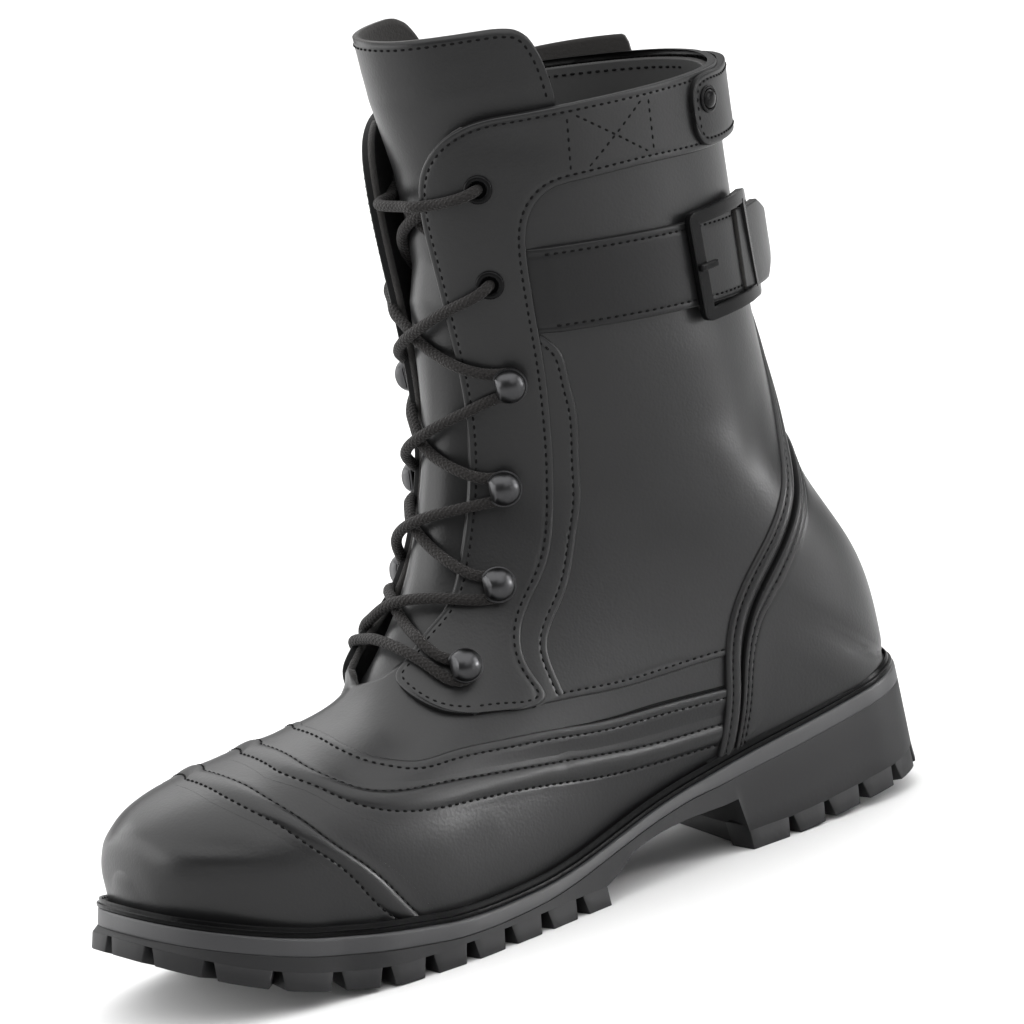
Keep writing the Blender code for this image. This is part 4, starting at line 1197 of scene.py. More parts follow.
class BOOT_OT_facings(Operator):
    """Facings with the cuff, and each side's quarter with its folded lower edge"""

    bl_idname = "boot.facings"
    bl_label = "Facings and cuff"

    def execute(self, context):
        lift = size("overlay")
        left, right = facing_lines()
        for word, side in SIDES:
            form = panel(left * (1, side), right * (1, side), lift)
            sheet_piece(f"facing_{word}", form, [f"eyestay_{word}"])
            sheet_piece(f"quarter_{word}", quarter(side, lift - QUARTER_UNDER))
        s = -np.linspace(0.45, 0.812, 60)
        top = 21.26 + 0.05 * np.sin(np.linspace(0, 3, 60)) - 0.3 * np.clip((-s - 0.79) / 0.022, 0, 1) ** 3
        share = np.linspace(0, 1, 16)
        t = 20.5 + (top[:, None] - 20.5) * share[None, :]
        points = over(t, np.broadcast_to(s[:, None], t.shape), np.full(t.shape, lift + 2.2))
        points[..., 2] -= rim(t, s[:, None]) * 0.9
        thick_sheet("cuff_flap", points, 1.9)
        return {"FINISHED"}


def quarter(side, lift):
    """Leather of one side from its folded lower edge up to beneath the cuff."""
    lines = seam_lines()
    low, back, front = lines["quarter_low"], lines["heel_strip"], lines["strip_edge"][::-1]
    flat = last(*low.T)
    low = even(low[flat[:, 0] < 151], count=110)
    back = back[last(*back.T)[:, 2] > 67]
    back = np.concatenate([low[:1], back, [(19.6, 1.0), (20.5, 1.0)]])
    front = front[last(*front.T)[:, 2] > 74]
    front = np.concatenate([low[-1:], shifted(front, 4.0), find([(124, 200), (124, 218), (122, 238)])])
    total = run_of(last(*front.T))[-1]
    near = [away / total for away, _ in ROLLED]
    rows = [(share, height) for share, (_, height) in zip(near, ROLLED)]
    rows += [(share, 0.0) for share in np.linspace(near[-1], 1, 60)[1:]]
    across_share = np.linspace(0, 1, len(low))[:, None]
    bend = low - (low[0] + (low[-1] - low[0]) * across_share)
    made = []
    for share, height in rows:
        ends = []
        for line in (back, front):
            run = run_of(last(*line.T))
            ends.append(np.array([np.interp(share * run[-1], run, line[:, k]) for k in (0, 1)]))
        line = ends[0] + (ends[1] - ends[0]) * across_share + bend * (1 - share) ** 2
        made.append(over(*(line * (1, side)).T, lift + height))
    return Form().grid(np.stack(made, 1))


@functools.lru_cache(maxsize=None)
def facing_lines():
    """Front and back line of a facing that turns into the cuff, with matching stations."""
    front = trace(FACING_FRONT, (COLLAR_ROW - 0.03, 1.0))
    back = trace(FACING_BACK, (20.36, 1.0))
    pairs = (
        ((173.3, 71.7), (173.3, 71.7), 0), ((188.9, 82.5), (149, 74), 26), ((157.9, 118), (133, 113), 60),
        ((145.5, 225), (122.2, 208), 96), ((139.4, 251.4), (117.8, 226.7), 34), ((104, 256),
        (99, 231.2), 34),
        (None, None, 76),
    )
    lines = [], []
    cuts = []
    for one, two, count in pairs:
        spots = []
        for line, spot in ((front, one), (back, two)):
            flat = last(*line.T)[:, (0, 2)]
            spots.append(len(line) - 1 if spot is None else int(np.argmin(((flat - spot) ** 2).sum(1))))
        cuts.append((*spots, count))
    cuts[0] = (0, 0, 0)
    for (a0, b0, _), (a1, b1, count) in zip(cuts, cuts[1:]):
        lines[0].append(even(front[a0 : a1 + 1], count=count + 1)[:-1])
        lines[1].append(even(back[b0 : b1 + 1], count=count + 1)[:-1])
    ends = front[-1:], back[-1:]
    return tuple(np.concatenate(line + [end]) for line, end in zip(lines, ends))


@functools.lru_cache(maxsize=None)
def seam_lines():
    """Lines on the last that the seams and the stitches follow."""
    count = 300
    lines = {name: even(across(table, crest), count=count) for name, table, crest in (
        ("toe_low", TOE_LOW, 4.2), ("toe_high", TOE_HIGH, 4.6), ("vamp_low", VAMP_LOW, 5.3),
        ("vamp_high", VAMP_HIGH, 5.66),
        ("vamp_top", VAMP_TOP, 6.45),
    )}
    lines["quarter_low"], lines["strip_edge"] = trace(QUARTER_LOW), trace(STRIP_EDGE)
    lines["heel_strip"] = trace(HEEL_STRIP, (19.1, 1.0))
    lines["counter_edge"] = trace(COUNTER_EDGE, (18.0, 1.0))
    return lines


BEAD = (
    (-0.62, -0.5), (-0.6, 0.04), (-0.45, 0.05), (-0.3, 0.09), (-0.15, 0.17), (-0.06, 0.15), (0, 0.0),
    (0.05, 0.2),
    (0.12, 0.45), (0.25, 0.78), (0.42, 1.0), (0.6, 1.08), (0.76, 1.0), (0.88, 0.75), (0.95, 0.45),
    (1.0, 0.02), (1.05, 0.2),
    (1.12, 0.25), (1.25, 0.18), (1.42, 0.09), (1.6, 0.05), (1.75, 0.04), (1.77, -0.5),
)
FOLD_DOWN = (
    (-0.25, -0.6), (-0.2, 0.4), (0, 0.9), (0.4, 1.12), (1.2, 1.18), (2.2, 1.08), (2.6, 0.9),
    (2.8, 0.76), (3.0, 0.86),
    (3.5, 0.92), (4.5, 0.78), (6, 0.46), (7.6, 0.18), (9, 0.06), (10.4, 0.04), (10.5, -0.6),
)
# Rows of a near-black strip along the vamp's fold, the painted shadow of the gap above it: distance across
# and height
SHADOW_GAP = ((-1.3, -0.3), (-1.25, 0.05), (-0.7, 0.07), (0, 0.07))
STRIP_FOLD = (
    (0.2, -0.6), (0.15, 0.9), (0, 1.25), (-0.3, 1.45), (-0.8, 1.52), (-1.6, 1.5), (-1.95, 1.42),
    (-2.2, 1.28),
    (-2.45, 1.42), (-3.1, 1.5), (-6, 1.5), (-11, 1.5), (-12, -0.6),
)
HEEL_BEAD = (
    (3.3, -0.6), (3.3, 0.9), (3.05, 1.6), (2.4, 2.0), (1.7, 2.05), (1.25, 1.85), (1.0, 1.6),
    (0.75, 1.85), (0.2, 2.2),
    (-0.6, 2.4), (-1.4, 2.3), (-2.1, 1.8), (-2.6, 0.9), (-2.8, -0.6),
)
COUNTER_ROLL = (
    (0, -2.2), (0.1, -0.4), (0.4, 0.4), (0.9, 0.78), (1.4, 0.7), (1.8, 0.4), (2.0, 0.2), (2.2, 0.4),
    (2.8, 0.62),
    (3.4, 0.42), (3.7, 0.1), (4.0, 0.26), (4.8, 0.3), (7, 0.16), (10, 0.04), (13, 0),
)


# Place along x where the painted shadow strip above the vamp's fold ends at the front
PAINTED_SHADOW_FRONT = 152.0


def fold_weight(line):
    """Share of its full height that the vamp's folded edge has along its run."""
    return 0.35 + 0.65 * np.clip((206 - last(*line.T)[:, 0]) / 26, 0, 1)


class BOOT_OT_seams(Operator):
    """Raised seams over the toe and the vamp"""

    bl_idname = "boot.seams"
    bl_label = "Toe and vamp seams"

    def execute(self, context):
        lines = seam_lines()
        for name in ("toe", "vamp"):
            form = strip(lines[name + "_low"], lines[name + "_high"], BEAD)
            sheet_piece(name + "_bead", form, [name + "_seam"])
        line = lines["vamp_top"]
        sheet_piece("vamp_fold", ribbon(line, FOLD_DOWN, fold_weight(line)))
        # A near-black strip in the thread finish behind the front of the vamp is painted shadow above the
        # fold, narrowing to nothing forward
        behind = last(*line.T)[:, 0] < PAINTED_SHADOW_FRONT
        half = len(line) // 2
        gaps = []
        for part in (line[:half][behind[:half]], line[half:][behind[half:]]):
            shadow_taper = np.clip((PAINTED_SHADOW_FRONT - last(*part.T)[:, 0]) / 40, 0.02, 1)
            rows = [over(*shifted(part, away * shadow_taper).T, lift) for away, lift in SHADOW_GAP]
            gaps.append(Form().grid(np.stack(rows, 1)))
        sheet_piece("vamp_painted_shadow", joined(gaps), finish="thread")
        for word, side in SIDES:
            beside = ribbon(lines["strip_edge"] * (1, side), mirrored(STRIP_FOLD, side))
            sheet_piece(f"facing_strip_{word}", beside)
        return {"FINISHED"}


def sheet_piece(name, form, replaced=(), finish="leather"):
    """A leather sheet laid on the last, its faces looking out."""
    # Panels with rolled edges give those edges the near-black finish, painted shade
    finishes = (finish, "edge_painted_shade") if any(form.kinds) else finish
    made = piece(name, form, finishes, replaced, 60)
    outwards(made)
    facing(made)
    return made


class BOOT_OT_heel(Operator):
    """Heel counter and the beaded strip in front of it"""

    bl_idname = "boot.heel"
    bl_label = "Heel"

    def execute(self, context):
        lines = seam_lines()
        forms = []
        for side in (1, -1):
            forms.append(ribbon(lines["heel_strip"] * (1, side), mirrored(HEEL_BEAD, side)))
        sheet_piece("heel_bead", joined(forms), ["heel_seam"])
        edge = lines["counter_edge"]
        forms = []
        for side in (1, -1):
            left = edge * (1, side)
            right = np.stack([edge[:, 0], np.full(len(edge), float(side))], -1)
            forms.append(panel(left, right, 1.4, (COUNTER_ROLL, ()), 40))
        sheet_piece("heel_counter", joined(forms), ["counter"])
        return {"FINISHED"}


def strap_z(x):
    (front_x, front_z), (back_x, back_z) = STRAP_FRONT, STRAP_BACK
    return front_z + (np.asarray(x, float) - front_x) * (back_z - front_z) / (back_x - front_x)


def round_back(table, back_z, first_row, count):
    """Line through points seen on the outer side, round the back at a height and on to the inner side."""
    spots = find(table)
    rows = np.linspace(first_row, COLLAR_ROW, 300)
    behind = np.array([[np.interp(back_z, last(rows, np.ones(300))[:, 2], rows), 1.0]])
    return even(through(np.concatenate([spots, behind, (spots * (1, -1) + (0, 2))[::-1]])), count=count)


@functools.lru_cache(maxsize=None)
def strap_lines():
    """Upper and lower edge of the strap, from the outer facing round the back to the inner one."""
    x = np.array([126, 112, 98, 84, 70, 58, 48, 40, 34.5])
    return [
        round_back(np.column_stack([x, strap_z(x) + rise]), strap_z(28) + rise, 18, 300)
        for rise in (STRAP_HALF, -STRAP_HALF)
    ]


class BOOT_OT_strap(Operator):
    """Ankle strap with its loose end"""

    bl_idname = "boot.strap"
    bl_label = "Strap"

    def execute(self, context):
        high, low = strap_lines()
        middle = last(*((high + low) / 2).T)
        rise = np.clip((124.5 - middle[:, 0]) / 9, 0, 1)
        lift = 1.2 + (STRAP_LIFT - 1.2) * rise * rise * (3 - 2 * rise)
        slot_x = BUCKLE_X - BUCKLE_WIDE / 2 + BUCKLE_BAR + 1.6
        outer = middle[:, 1] > 0
        lift -= 2.0 * np.exp(-(((middle[:, 0] - slot_x) / 1.8) ** 2)) * outer
        sheet_piece("ankle_strap", panel(high, low, lift, inset=16), ["strap"], "trim")
        spots = find([(x, strap_z(x)) for x in (44, 36)])
        line = even(through([*spots, (19.55, 1.0), (19.5, 1.16)]), count=90)
        run = run_of(last(*line.T))
        keep = run < 31
        line, run = line[keep], run[keep]
        point = np.clip((run - 17) / 14, 0, 1)
        top = STRAP_HALF - 0.6 - 8.5 * point
        low_side = -STRAP_HALF + 0.6 + 9.5 * point
        lift = 3.8 + 0.14 * run + run**2 / 110
        body = []
        for share in np.linspace(0, 1, 26):
            away = -(low_side + (top - low_side) * share)
            body.append(over(*shifted(line, away).T, lift))
        thick_sheet("strap_tip", np.stack(body, 1), 2.2, ["strap_end"], 50)
        return {"FINISHED"}


def laid(made, x, z, lift):
    """Bends an object modelled flat, in metres, onto the outer side round one place."""
    flat = np.array([v.co for v in made.data.vertices]) / MM
    spots = find(np.column_stack([x + flat[:, 0], z + flat[:, 1]]))
    points = (over(*spots.T, lift + flat[:, 2]) - CENTRE) * MM
    made.data.vertices.foreach_set("co", points.ravel())
    made.data.update()
    return made


def editing(made):
    only(made)
    bpy.ops.object.mode_set(mode="EDIT")
    bpy.ops.mesh.select_all(action="SELECT")


class BOOT_OT_buckle(Operator):
    """Buckle frame with its prong"""

    bl_idname = "boot.buckle"
    bl_label = "Buckle"

    def execute(self, context):
        bpy.ops.object.select_all(action="DESELECT")
        bpy.ops.mesh.primitive_plane_add(size=1)
        made = context.active_object
        made.name = "buckle_frame"
        editing(made)
        bpy.ops.transform.resize(value=(BUCKLE_WIDE * MM, BUCKLE_TALL * MM, 1))
        bpy.ops.mesh.bevel(affect="VERTICES", offset=3 * MM, segments=6)
        bpy.ops.mesh.select_all(action="SELECT")
        bpy.ops.mesh.inset(thickness=BUCKLE_BAR * MM)
        bpy.ops.mesh.delete(type="FACE")
        bpy.ops.mesh.select_all(action="SELECT")
        bpy.ops.mesh.subdivide(number_cuts=3)
        bpy.ops.mesh.select_all(action="SELECT")
        bpy.ops.mesh.extrude_region_move(TRANSFORM_OT_translate={"value": (0, 0, 2.3 * MM)})
        bpy.ops.mesh.select_all(action="SELECT")
        bpy.ops.mesh.normals_make_consistent(inside=False)
        bpy.ops.object.mode_set(mode="OBJECT")
        eased(made, 0.8, 3, 50)
        laid(made, BUCKLE_X, float(strap_z(BUCKLE_X)), STRAP_LIFT + 0.4)
        editing(made)
        bpy.ops.mesh.remove_doubles(threshold=0.002 * MM)
        bpy.ops.object.mode_set(mode="OBJECT")
        outwards(made)
        settle(made, "black_metal", ["buckle"], 40)
        bpy.ops.object.select_all(action="DESELECT")
        bpy.ops.mesh.primitive_cube_add(size=1)
        made = context.active_object
        made.name = "buckle_prong"
        editing(made)
        bpy.ops.transform.resize(value=(7.5 * MM, 2.3 * MM, 1.9 * MM))
        bpy.ops.mesh.subdivide(number_cuts=3)
        bpy.ops.transform.translate(value=(BUCKLE_WIDE / 2 * MM - 4.2 * MM, 0, 3.0 * MM))
        bpy.ops.object.mode_set(mode="OBJECT")
        eased(made, 0.5, 3, 50)
        laid(made, BUCKLE_X, float(strap_z(BUCKLE_X)), STRAP_LIFT + 0.4)
        outwards(made)
        settle(made, "black_metal", ["prong"], 60)
        return {"FINISHED"}


TAB_TOP = ((56.8, 241), (56.4, 247), (53.6, 251.4), (49, 252.7), (40, 252.2), (32, 251.8))
TAB_LOW = ((56.8, 241), (56.6, 234.4), (54, 230.6), (50, 229.4), (40, 228.8), (33, 228.4))


class BOOT_OT_tab(Operator):
    """Pull tab over the back of the cuff, with its rivet"""

    bl_idname = "boot.tab"
    bl_label = "Back tab"

    def execute(self, context):
        high, low = tab_lines()
        sheet_piece("pull_tab", panel(high, low, tab_lift(high), inset=16), ["back_tab"], "trim")
        bpy.ops.object.select_all(action="DESELECT")
        bpy.ops.mesh.primitive_uv_sphere_add(segments=28, ring_count=14, radius=1)
        made = context.active_object
        made.name = "rivet"
        editing(made)
        bpy.ops.transform.resize(value=(3.2 * MM, 3.2 * MM, 1.7 * MM))
        bpy.ops.mesh.primitive_torus_add(
            major_segments=40, minor_segments=12, major_radius=3.9 * MM, minor_radius=0.6 * MM,
        )
        bpy.ops.object.mode_set(mode="OBJECT")
        laid(made, 49.0, 244.3, size("overlay") + 1.9)
        outwards(made)
        settle(made, "black_metal", ["tab_rivet"], 60)
        return {"FINISHED"}


@functools.lru_cache(maxsize=None)
def tab_lines():
    """Upper and lower edge of the pull tab, round the back."""
    return round_back(TAB_TOP, 251.6, 19, 200), round_back(TAB_LOW, 228.2, 19, 200)


def tab_lift(line):
    """Height of the pull tab, which stands off the back as a loop."""
    loop = np.exp(-(((line[:, 1] - 1) / 0.1) ** 2))
    return size("overlay") + 1.7 + 4.2 * loop


def holder_frame(t, s):
    """Place on the upper with its outward, upward and forward directions."""
    spot, out = over(t, s), normal(t, s)
    up = unit(np.array([0, 0, 1.0]) - out * out[2])
    ahead = np.cross(out, up) * np.sign(s)
    return spot, out, up, ahead * np.sign(ahead[0])


def set_on(made, t, s, lift):
    """Puts an object modelled at the origin, in metres, onto the upper: X forward, Y up, Z out."""
    spot, out, up, ahead = holder_frame(t, s)
    place = (spot + out * lift - CENTRE) * MM
    made.data.transform(frame_of(ahead, up, out, place))
    if s < 0:
        made.data.flip_normals()


class BOOT_OT_holders(Operator):
    """Eyelets and ball hooks that hold the lace"""

    bl_idname = "boot.holders"
    bl_label = "Eyelets and hooks"

    def execute(self, context):
        lift = size("overlay")
        models = {"hook": self.hook(context), "eyelet": self.eyelet(context)}
        for number, (kind, x, z) in enumerate(HOLDERS):
            (t, s), = find([(x, z)])
            for word, side in SIDES:
                made = bpy.data.objects.new(f"{kind}_{word}_{number + 1}_metal", models[kind].data.copy())
                context.scene.collection.objects.link(made)
                set_on(made, t, s * side, lift - 0.1)
                editing(made)
                bpy.ops.mesh.flip_normals()
                bpy.ops.object.mode_set(mode="OBJECT")
                # Eyelets carry the painted shade of their hole as a second finish
                finish, slot = ("black_metal", "hole_painted_shade"), "black_metal"
                if kind == "hook":
                    finish = slot = "gunmetal"
                settle(made, finish, [f"{kind}_{word}_{number + 1}"], 40)
        for model in models.values():
            bpy.data.objects.remove(model, do_unlink=True)
        return {"FINISHED"}

    def hook(self, context):
        bpy.ops.object.select_all(action="DESELECT")
        bpy.ops.mesh.primitive_uv_sphere_add(segments=40, ring_count=24, radius=5.5 * MM, location=(0, 0, 0))
        dome = context.active_object
        editing(dome)
        bpy.ops.mesh.bisect(plane_co=(0, 0, -0.6 * MM), plane_no=(0, 0, 1), clear_inner=True, use_fill=True)
        bpy.ops.mesh.select_all(action="SELECT")
        bpy.ops.mesh.bisect(plane_co=(4.5 * MM, 0, 0), plane_no=(1, 0, 0.35), clear_outer=True, use_fill=True)
        bpy.ops.mesh.select_all(action="SELECT")
        bpy.ops.transform.resize(value=(1, 1, 0.8))
        bpy.ops.transform.translate(value=(0, 0, 5.3 * MM))
        bpy.ops.object.mode_set(mode="OBJECT")
        eased(dome, 0.35, 3, 40)
        for radius, depth, height, flat in ((3.4, 0.9, 0.45, 9), (1.7, 4.6, 2.6, 9), (5.9, 0.8, 4.7, 4.7)):
            bpy.ops.object.select_all(action="DESELECT")
            bpy.ops.mesh.primitive_cylinder_add(
                vertices=48, radius=radius * MM, depth=depth * MM, location=(0, 0, height * MM),
            )
            plate = context.active_object
            bpy.ops.object.transform_apply(location=True)
            editing(plate)
            bpy.ops.mesh.bisect(
                plane_co=(flat * MM, 0, 0), plane_no=(1, 0, 0), clear_outer=True, use_fill=True,
            )
            bpy.ops.object.mode_set(mode="OBJECT")
            eased(plate, 0.25, 2, 40)
            plate.select_set(True)
            dome.select_set(True)
            context.view_layer.objects.active = dome
            bpy.ops.object.join()
        return dome

    def eyelet(self, context):
        bpy.ops.object.select_all(action="DESELECT")
        bpy.ops.mesh.primitive_torus_add(
            major_segments=40, minor_segments=14, major_radius=3.7 * MM, minor_radius=1.0 * MM,
        )
        made = context.active_object
        editing(made)
        bpy.ops.transform.resize(value=(1, 1, 0.75))
        bpy.ops.transform.translate(value=(0, 0, 0.55 * MM))
        # A flat matte black disc across the ring stands in for the hole: painted shade
        bpy.ops.mesh.primitive_circle_add(
            vertices=40, radius=3.3 * MM, fill_type="NGON", location=(0, 0, 0.2 * MM),
        )
        made.data.materials.append(finish_of("black_metal"))
        made.data.materials.append(finish_of("hole_painted_shade"))
        made.active_material_index = 1
        bpy.ops.object.material_slot_assign()
        bpy.ops.object.mode_set(mode="OBJECT")
        return made


def lace_points():
    """Middle line of the one lace: from eyelet to eyelet over the tongue and down the hooks and back."""
    seats = find([(x, z) for _, x, z in HOLDERS])

    def seat(row, side):
        return seats[row, 0], seats[row, 1] * side

    def by(row, side, forward, upward, lift):
        spot, out, up, ahead = holder_frame(*seat(row, side))
        return spot + out * lift + up * upward + ahead * forward

    def between(one, two, low, count=7, far=0.55):
        """Over the front of the boot from one place to another, at a height over the tongue."""
        share = np.linspace(0, 1, count + 2)[1:-1]
        (t0, s0), (t1, s1) = one, two
        s = s0 + (s1 - s0) * share
        z = last(t0, s0)[2] + (last(t1, s1)[2] - last(t0, s0)[2]) * share
        rows = np.linspace(6.5, 22, 500)
        t = np.array([np.interp(height, last(rows, where)[:, 2], rows) for where, height in zip(s, z)])
        level = np.interp(z.mean(), (86, 165), (0, 1))
        t = t * level + (t0 + (t1 - t0) * share) * (1 - level)
        on = np.clip(np.abs(s) / np.maximum(throat_s(t), 0.02), 0, 1) ** 3
        return over(t, s, low + (np.where(s > 0, LACE_LIFT, LACE_LIFT * far) - low) * on)

    def near(row, side, upward, forward=5.2):
        """Place on the facing just in front of a holder, above or below it."""
        forward = forward if side > 0 else 0.7 * forward
        (t, s), = find([(HOLDERS[row][1] + forward, HOLDERS[row][2] + upward)])
        return t, s * side

    path = []

    def wrap(row, side, down=True):
        sign = 1 if down else -1
        for forward, upward in ((2.4, 3.7), (-1.2, 3.0), (-2.7, 0), (-1.2, -3.0), (2.4, -3.7)):
            path.append(by(row, side, forward, upward * sign, LACE_LIFT if side > 0 else 2.9))

    over_low, under_low = 2.6, -0.8
    side = 1
    path.append(by(1, side, -1.5, -1.0, -6))
    path.append(by(1, side, -0.4, 0.2, 0.6))
    path.append(by(1, side, 2.2, -1.2, LACE_LIFT))
    for row in range(2, 6):
        one = near(row - 1, side, -4.4) if row > 2 else near(1, side, -2.4, 4.0)
        path.extend(between(one, near(row, -side, 4.4), over_low if side > 0 else under_low))
        side = -side
        wrap(row, side)
    path.extend(between(near(5, side, -4.4), near(5, -side, -4.4), over_low))
    side = -side
    wrap(5, side, down=False)
    for row in range(4, 1, -1):
        low = under_low if side > 0 else over_low
        path.extend(between(near(row + 1, side, 4.4), near(row, -side, -4.4), low))
        side = -side
        wrap(row, side, down=False)
    path.extend(between(near(2, side, 4.4), near(1, -side, -2.4, 4.0), under_low if side > 0 else over_low))
    side = -side
    path.append(by(1, side, 2.2, -1.2, LACE_LIFT))
    path.append(by(1, side, -0.4, 0.2, 0.6))
    path.append(by(1, side, -1.5, -1.0, -6))
    tops = []
    for one, deep in ((1, 5.6), (-1, 9.4)):
        run = []
        for share in np.linspace(0, 1, 9):
            (t0, s0), (t1, s1) = seat(0, one), seat(1, -one)
            t, s = t0 + (t1 - t0) * share, s0 + (s1 - s0) * share
            run.append(last(t, s) - normal(t, s) * deep)
        tops.append(np.array(run))
    bar = [by(0, 1, -1.5, 0, -6), by(0, 1, -0.4, 0.2, 0.6), by(0, 1, 2.4, -0.6, LACE_LIFT)]
    bar.extend(between(near(0, 1, -2.4, 6.5), near(0, -1, -2.4, 6.5), 1.0, count=9, far=-1.1))
    bar += [by(0, -1, 3.5, -0.6, -5), by(0, -1, -0.4, 0.2, -3.4), by(0, -1, 0, 0, 0.6)]
    return [np.array(path), np.array(bar), *tops]


def cord(points, radius, sides, gap=1.1):
    """Round cord through points, with its map: round in x and along in y."""
    run = run_of(points)
    path = flow(run, points)(np.linspace(0, run[-1], 1200))
    run = run_of(path)
    count = int(run[-1] / gap)
    at = np.linspace(0, run[-1], count)
    path = np.stack([np.interp(at, run, path[:, k]) for k in range(3)], -1)
    way = unit(np.gradient(path, axis=0))
    one = unit(np.cross(way[0], (0.3, 0.1, 1.0)))
    rings = []
    for spot, ahead in zip(path, way):
        one = unit(one - ahead * (one @ ahead))
        two = np.cross(ahead, one)
        angle = 2 * math.pi * np.arange(sides) / sides
        rings.append(spot + radius * (np.cos(angle)[:, None] * one + np.sin(angle)[:, None] * two))
    return np.stack(rings), at


class BOOT_OT_lace(Operator):
    """Round lace through the eyelets and behind the hooks"""

    bl_idname = "boot.lace"
    bl_label = "Lace"

    def execute(self, context):
        looks = context.scene.boot
        form, charts = Form(), []
        for points in lace_points():
            rings, at = cord(points, size("lace_radius"), looks.lace_sides)
            form.grid(rings, wrap=True)
            sides = looks.lace_sides
            i, j = np.meshgrid(np.arange(len(rings) - 1), np.arange(sides), indexing="ij")
            i, j = i.ravel(), j.ravel()
            for di, dj in ((0, 0), (0, 1), (1, 1), (1, 0)):
                charts.append(np.stack([(j + dj) / sides, at[i + di] / 10], -1))
            charts[-4:] = [np.stack(charts[-4:], 1).reshape(-1, 2)]
        points = (np.concatenate(form.points) - CENTRE) * MM
        mesh = bpy.data.meshes.new("lace_cord")
        mesh.from_pydata(points.tolist(), [], form.faces)
        mesh.uv_layers.new(name="run").data.foreach_set("uv", np.concatenate(charts).ravel())
        made = bpy.data.objects.new("lace_cord", mesh)
        context.scene.collection.objects.link(made)
        names = [f"lace_cross_{k}" for k in range(1, 6)] + ["lace_bar_top", "lace_bar_low"]
        outwards(made)
        settle(made, "lace", names, 80)
        return {"FINISHED"}


def stitch_rows():
    """Every row of stitches on the upper: points and outward directions."""
    lines = seam_lines()
    rows = []

    def row(line, lift, away=0.0):
        run = run_of(last(*line.T))
        spread = np.broadcast_to(np.asarray(lift, float), run.shape)
        line = even(shifted(line, away) if away else line, gap=0.8)
        lift = np.interp(np.linspace(0, run[-1], len(line)), run, spread)
        rows.append((over(*line.T, lift), normal(*line.T)))

    inside = np.column_stack([np.full(200, COLLAR_ROW - 0.18), np.linspace(-0.46, -0.97, 200)])
    rows.append((over(*inside.T, -UPPER_WALL - 0.1), -normal(*inside.T)))
    for name in ("toe", "vamp"):
        row(lines[name + "_low"], 0.2)
        row(lines[name + "_high"], 0.2)
    row(lines["vamp_top"], 0.76 * fold_weight(lines["vamp_top"]) + 0.12, 2.8)
    left, right = facing_lines()
    lift = size("overlay")
    for side in (1, -1):
        both = np.array([1, side])
        row(lines["quarter_low"][:-12] * both, lift - QUARTER_UNDER - STITCH_SINK, -STITCH_IN * side)
        row(lines["strip_edge"] * both, 1.38, -2.2 * side)
        for line, hand in ((left, -1), (right, 1)):
            row(line[1:] * both, lift - STITCH_SINK, hand * side * STITCH_IN)
        row(lines["heel_strip"] * both, 1.7, 1.0 * side)
        for away, height in ((2.0, 1.68), (3.7, 1.58)):
            row(lines["counter_edge"][:-8] * both, height, -away * side)
        for ends in CUFF_BOX:
            row(through(find(np.linspace(*ends, 5))) * both, lift - 0.02)
    high, low = strap_lines()
    for line, hand in ((high, -1), (low, 1)):
        row(line[11:-11], STRAP_LIFT - STITCH_SINK, hand * STITCH_IN)
    high, low = tab_lines()
    for line, hand in ((high, -1), (low, 1)):
        line = even(shifted(line, hand * STITCH_IN), gap=0.8)
        rows.append((over(*line.T, tab_lift(line) - STITCH_SINK), normal(*line.T)))
    columns = np.linspace(-0.4015, 0.4015, 600)
    top = even(shifted(even(np.stack([tongue_top(columns), columns], -1), gap=0.8), -2.6), gap=0.8)
    rows.append((tongue_points(*top.T) + 0.05 * normal(*top.T), normal(*top.T)))
    return rows


class BOOT_OT_stitching(Operator):
    """Rows of stitches along every seam"""

    bl_idname = "boot.stitching"
    bl_label = "Stitching"

    def execute(self, context):
        looks = context.scene.boot
        forms = [
            capsules(points, outs, size("stitch_pitch"), size("stitch_long"), size("stitch_thick"))
            for points, outs in stitch_rows()
        ]
        outwards(piece("upper_stitches", joined(forms), "thread", (), 60))
        loop = ring(edges(2.6, count=400, push=0.9), above_seat(2.5))
        loop = np.concatenate([loop, loop[:1]])
        outs = np.zeros_like(loop)
        outs[:, 2] = 1
        form = capsules(loop, outs, 4.2, 3.4, 0.55)
        outwards(piece("welt_stitches", form, "thread", (), 60))
        return {"FINISHED"}


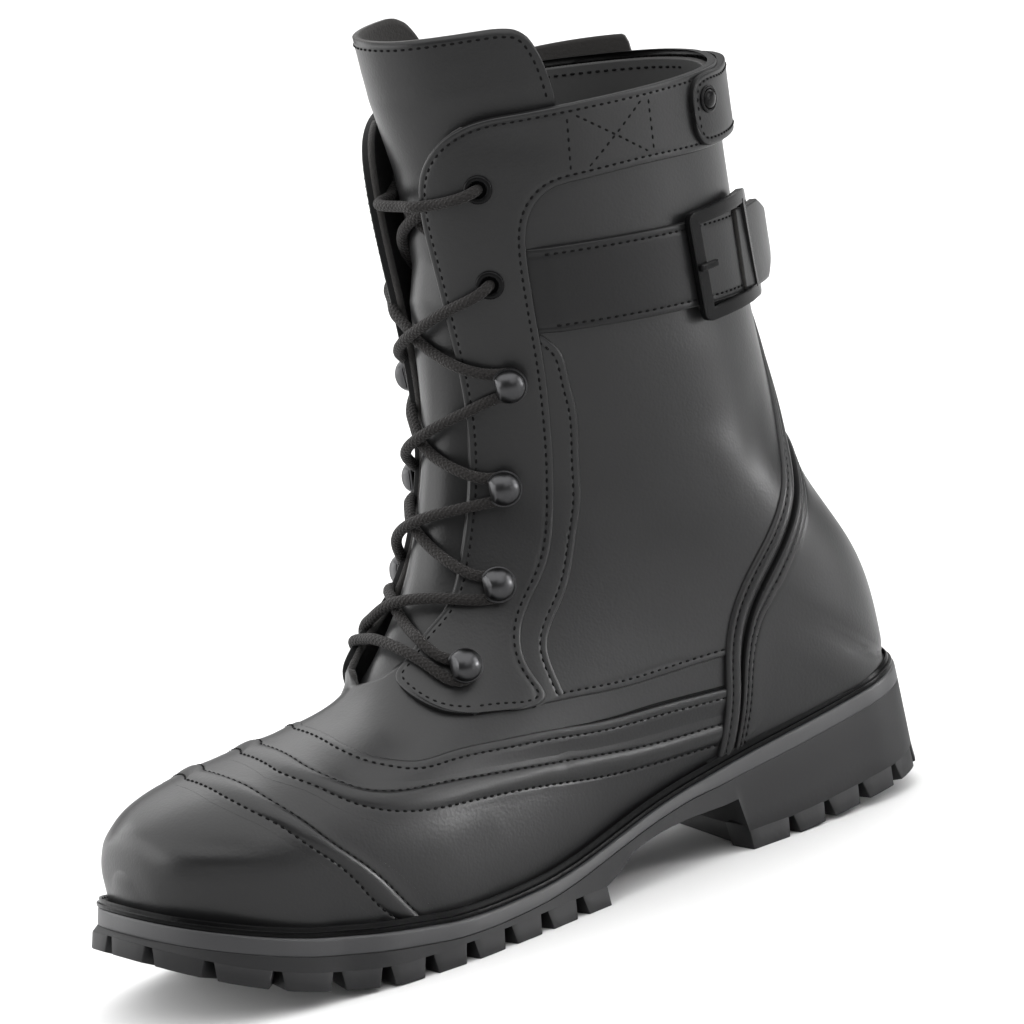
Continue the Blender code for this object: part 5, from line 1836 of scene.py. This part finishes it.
class BOOT_OT_stage(Operator):
    """Floor, lights and the photograph's camera"""

    bl_idname = "boot.stage"
    bl_label = "Stage"

    def execute(self, context):
        scene = context.scene
        bpy.ops.mesh.primitive_plane_add(size=40, location=(0, 0, 0))
        floor = context.active_object
        floor.name = "floor"
        floor.data.materials.append(material("floor_paint", scene.boot.floor, 0.9))
        world = bpy.data.worlds.new("studio")
        world.use_nodes = True
        sky = world.node_tree.nodes["Background"]
        sky.inputs["Color"].default_value = (1, 1, 1, 1)
        sky.inputs["Strength"].default_value = SKY_POWER
        scene.world = world
        self.place_camera(context)
        self.place_lights(context)
        scene.view_settings.view_transform = "Standard"
        return {"FINISHED"}

    def place_camera(self, context):
        """Camera with the photograph's angle and roll."""
        turn, rise, roll = (math.radians(v) for v in (VIEW_TURN, VIEW_RISE, VIEW_ROLL))
        back = np.array([math.sin(turn) * math.cos(rise), -math.cos(turn) * math.cos(rise), math.sin(rise)])
        right = np.array([math.cos(turn), math.sin(turn), 0])
        up = np.cross(back, right)
        bpy.ops.object.camera_add()
        camera = context.active_object
        camera.name = "photo_camera"
        camera.data.sensor_width = 36
        camera.data.lens = VIEW_LENS
        camera.data.clip_end = 200
        camera.matrix_world = frame_of(
            right * math.cos(roll) + up * math.sin(roll), -right * math.sin(roll) + up * math.cos(roll), back,
            (VIEW_TARGET - CENTRE) * MM + back * VIEW_FAR * MM,
        )
        context.scene.camera = camera

    def place_lights(self, context):
        """Sheet of light overhead and soft boxes round the boot."""
        bpy.ops.object.light_add(type="SUN", location=(0, 0, 3))
        light = context.active_object
        light.name = "overhead_sheet"
        light.data.energy = SHEET_POWER
        light.data.angle = math.radians(SHEET_ANGLE)
        for name, place, aim, wide, tall, power, spread in LIGHTS:
            bpy.ops.object.light_add(type="AREA", location=place)
            light = context.active_object
            light.name = name
            light.data.shape = "RECTANGLE"
            light.data.size, light.data.size_y = wide, tall
            light.data.energy = power
            light.data.spread = math.radians(spread)
            way = unit(np.array(place) - np.array([0, 0, aim]))
            side = unit(np.cross([0, 0, 1.0], way))
            light.matrix_world = frame_of(side, np.cross(way, side), way, place)


class BOOT_PT_panel(Panel):
    """Lists the steps that build the boot"""

    bl_idname = "BOOT_PT_panel"
    bl_label = "Motorcycle boot"
    bl_space_type = "VIEW_3D"
    bl_region_type = "UI"
    bl_category = "Boot"

    def draw(self, context):
        for step in STEPS:
            self.layout.operator(step.bl_idname)


STEPS = (
    BOOT_OT_sole, BOOT_OT_upper, BOOT_OT_tongue, BOOT_OT_facings, BOOT_OT_seams, BOOT_OT_heel, BOOT_OT_strap,
    BOOT_OT_buckle, BOOT_OT_tab, BOOT_OT_holders, BOOT_OT_lace, BOOT_OT_stitching, BOOT_OT_stage,
)
CLASSES = (BootSizes, *STEPS, BOOT_PT_panel)


def register():
    for kind in CLASSES:
        bpy.utils.register_class(kind)
    bpy.types.Scene.boot = PointerProperty(type=BootSizes)


def unregister():
    del bpy.types.Scene.boot
    for kind in reversed(CLASSES):
        bpy.utils.unregister_class(kind)


def main():
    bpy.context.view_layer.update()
    register()
    for step in STEPS:
        group, name = step.bl_idname.split(".")
        getattr(getattr(bpy.ops, group), name)()


if __name__ == "__main__":
    main()
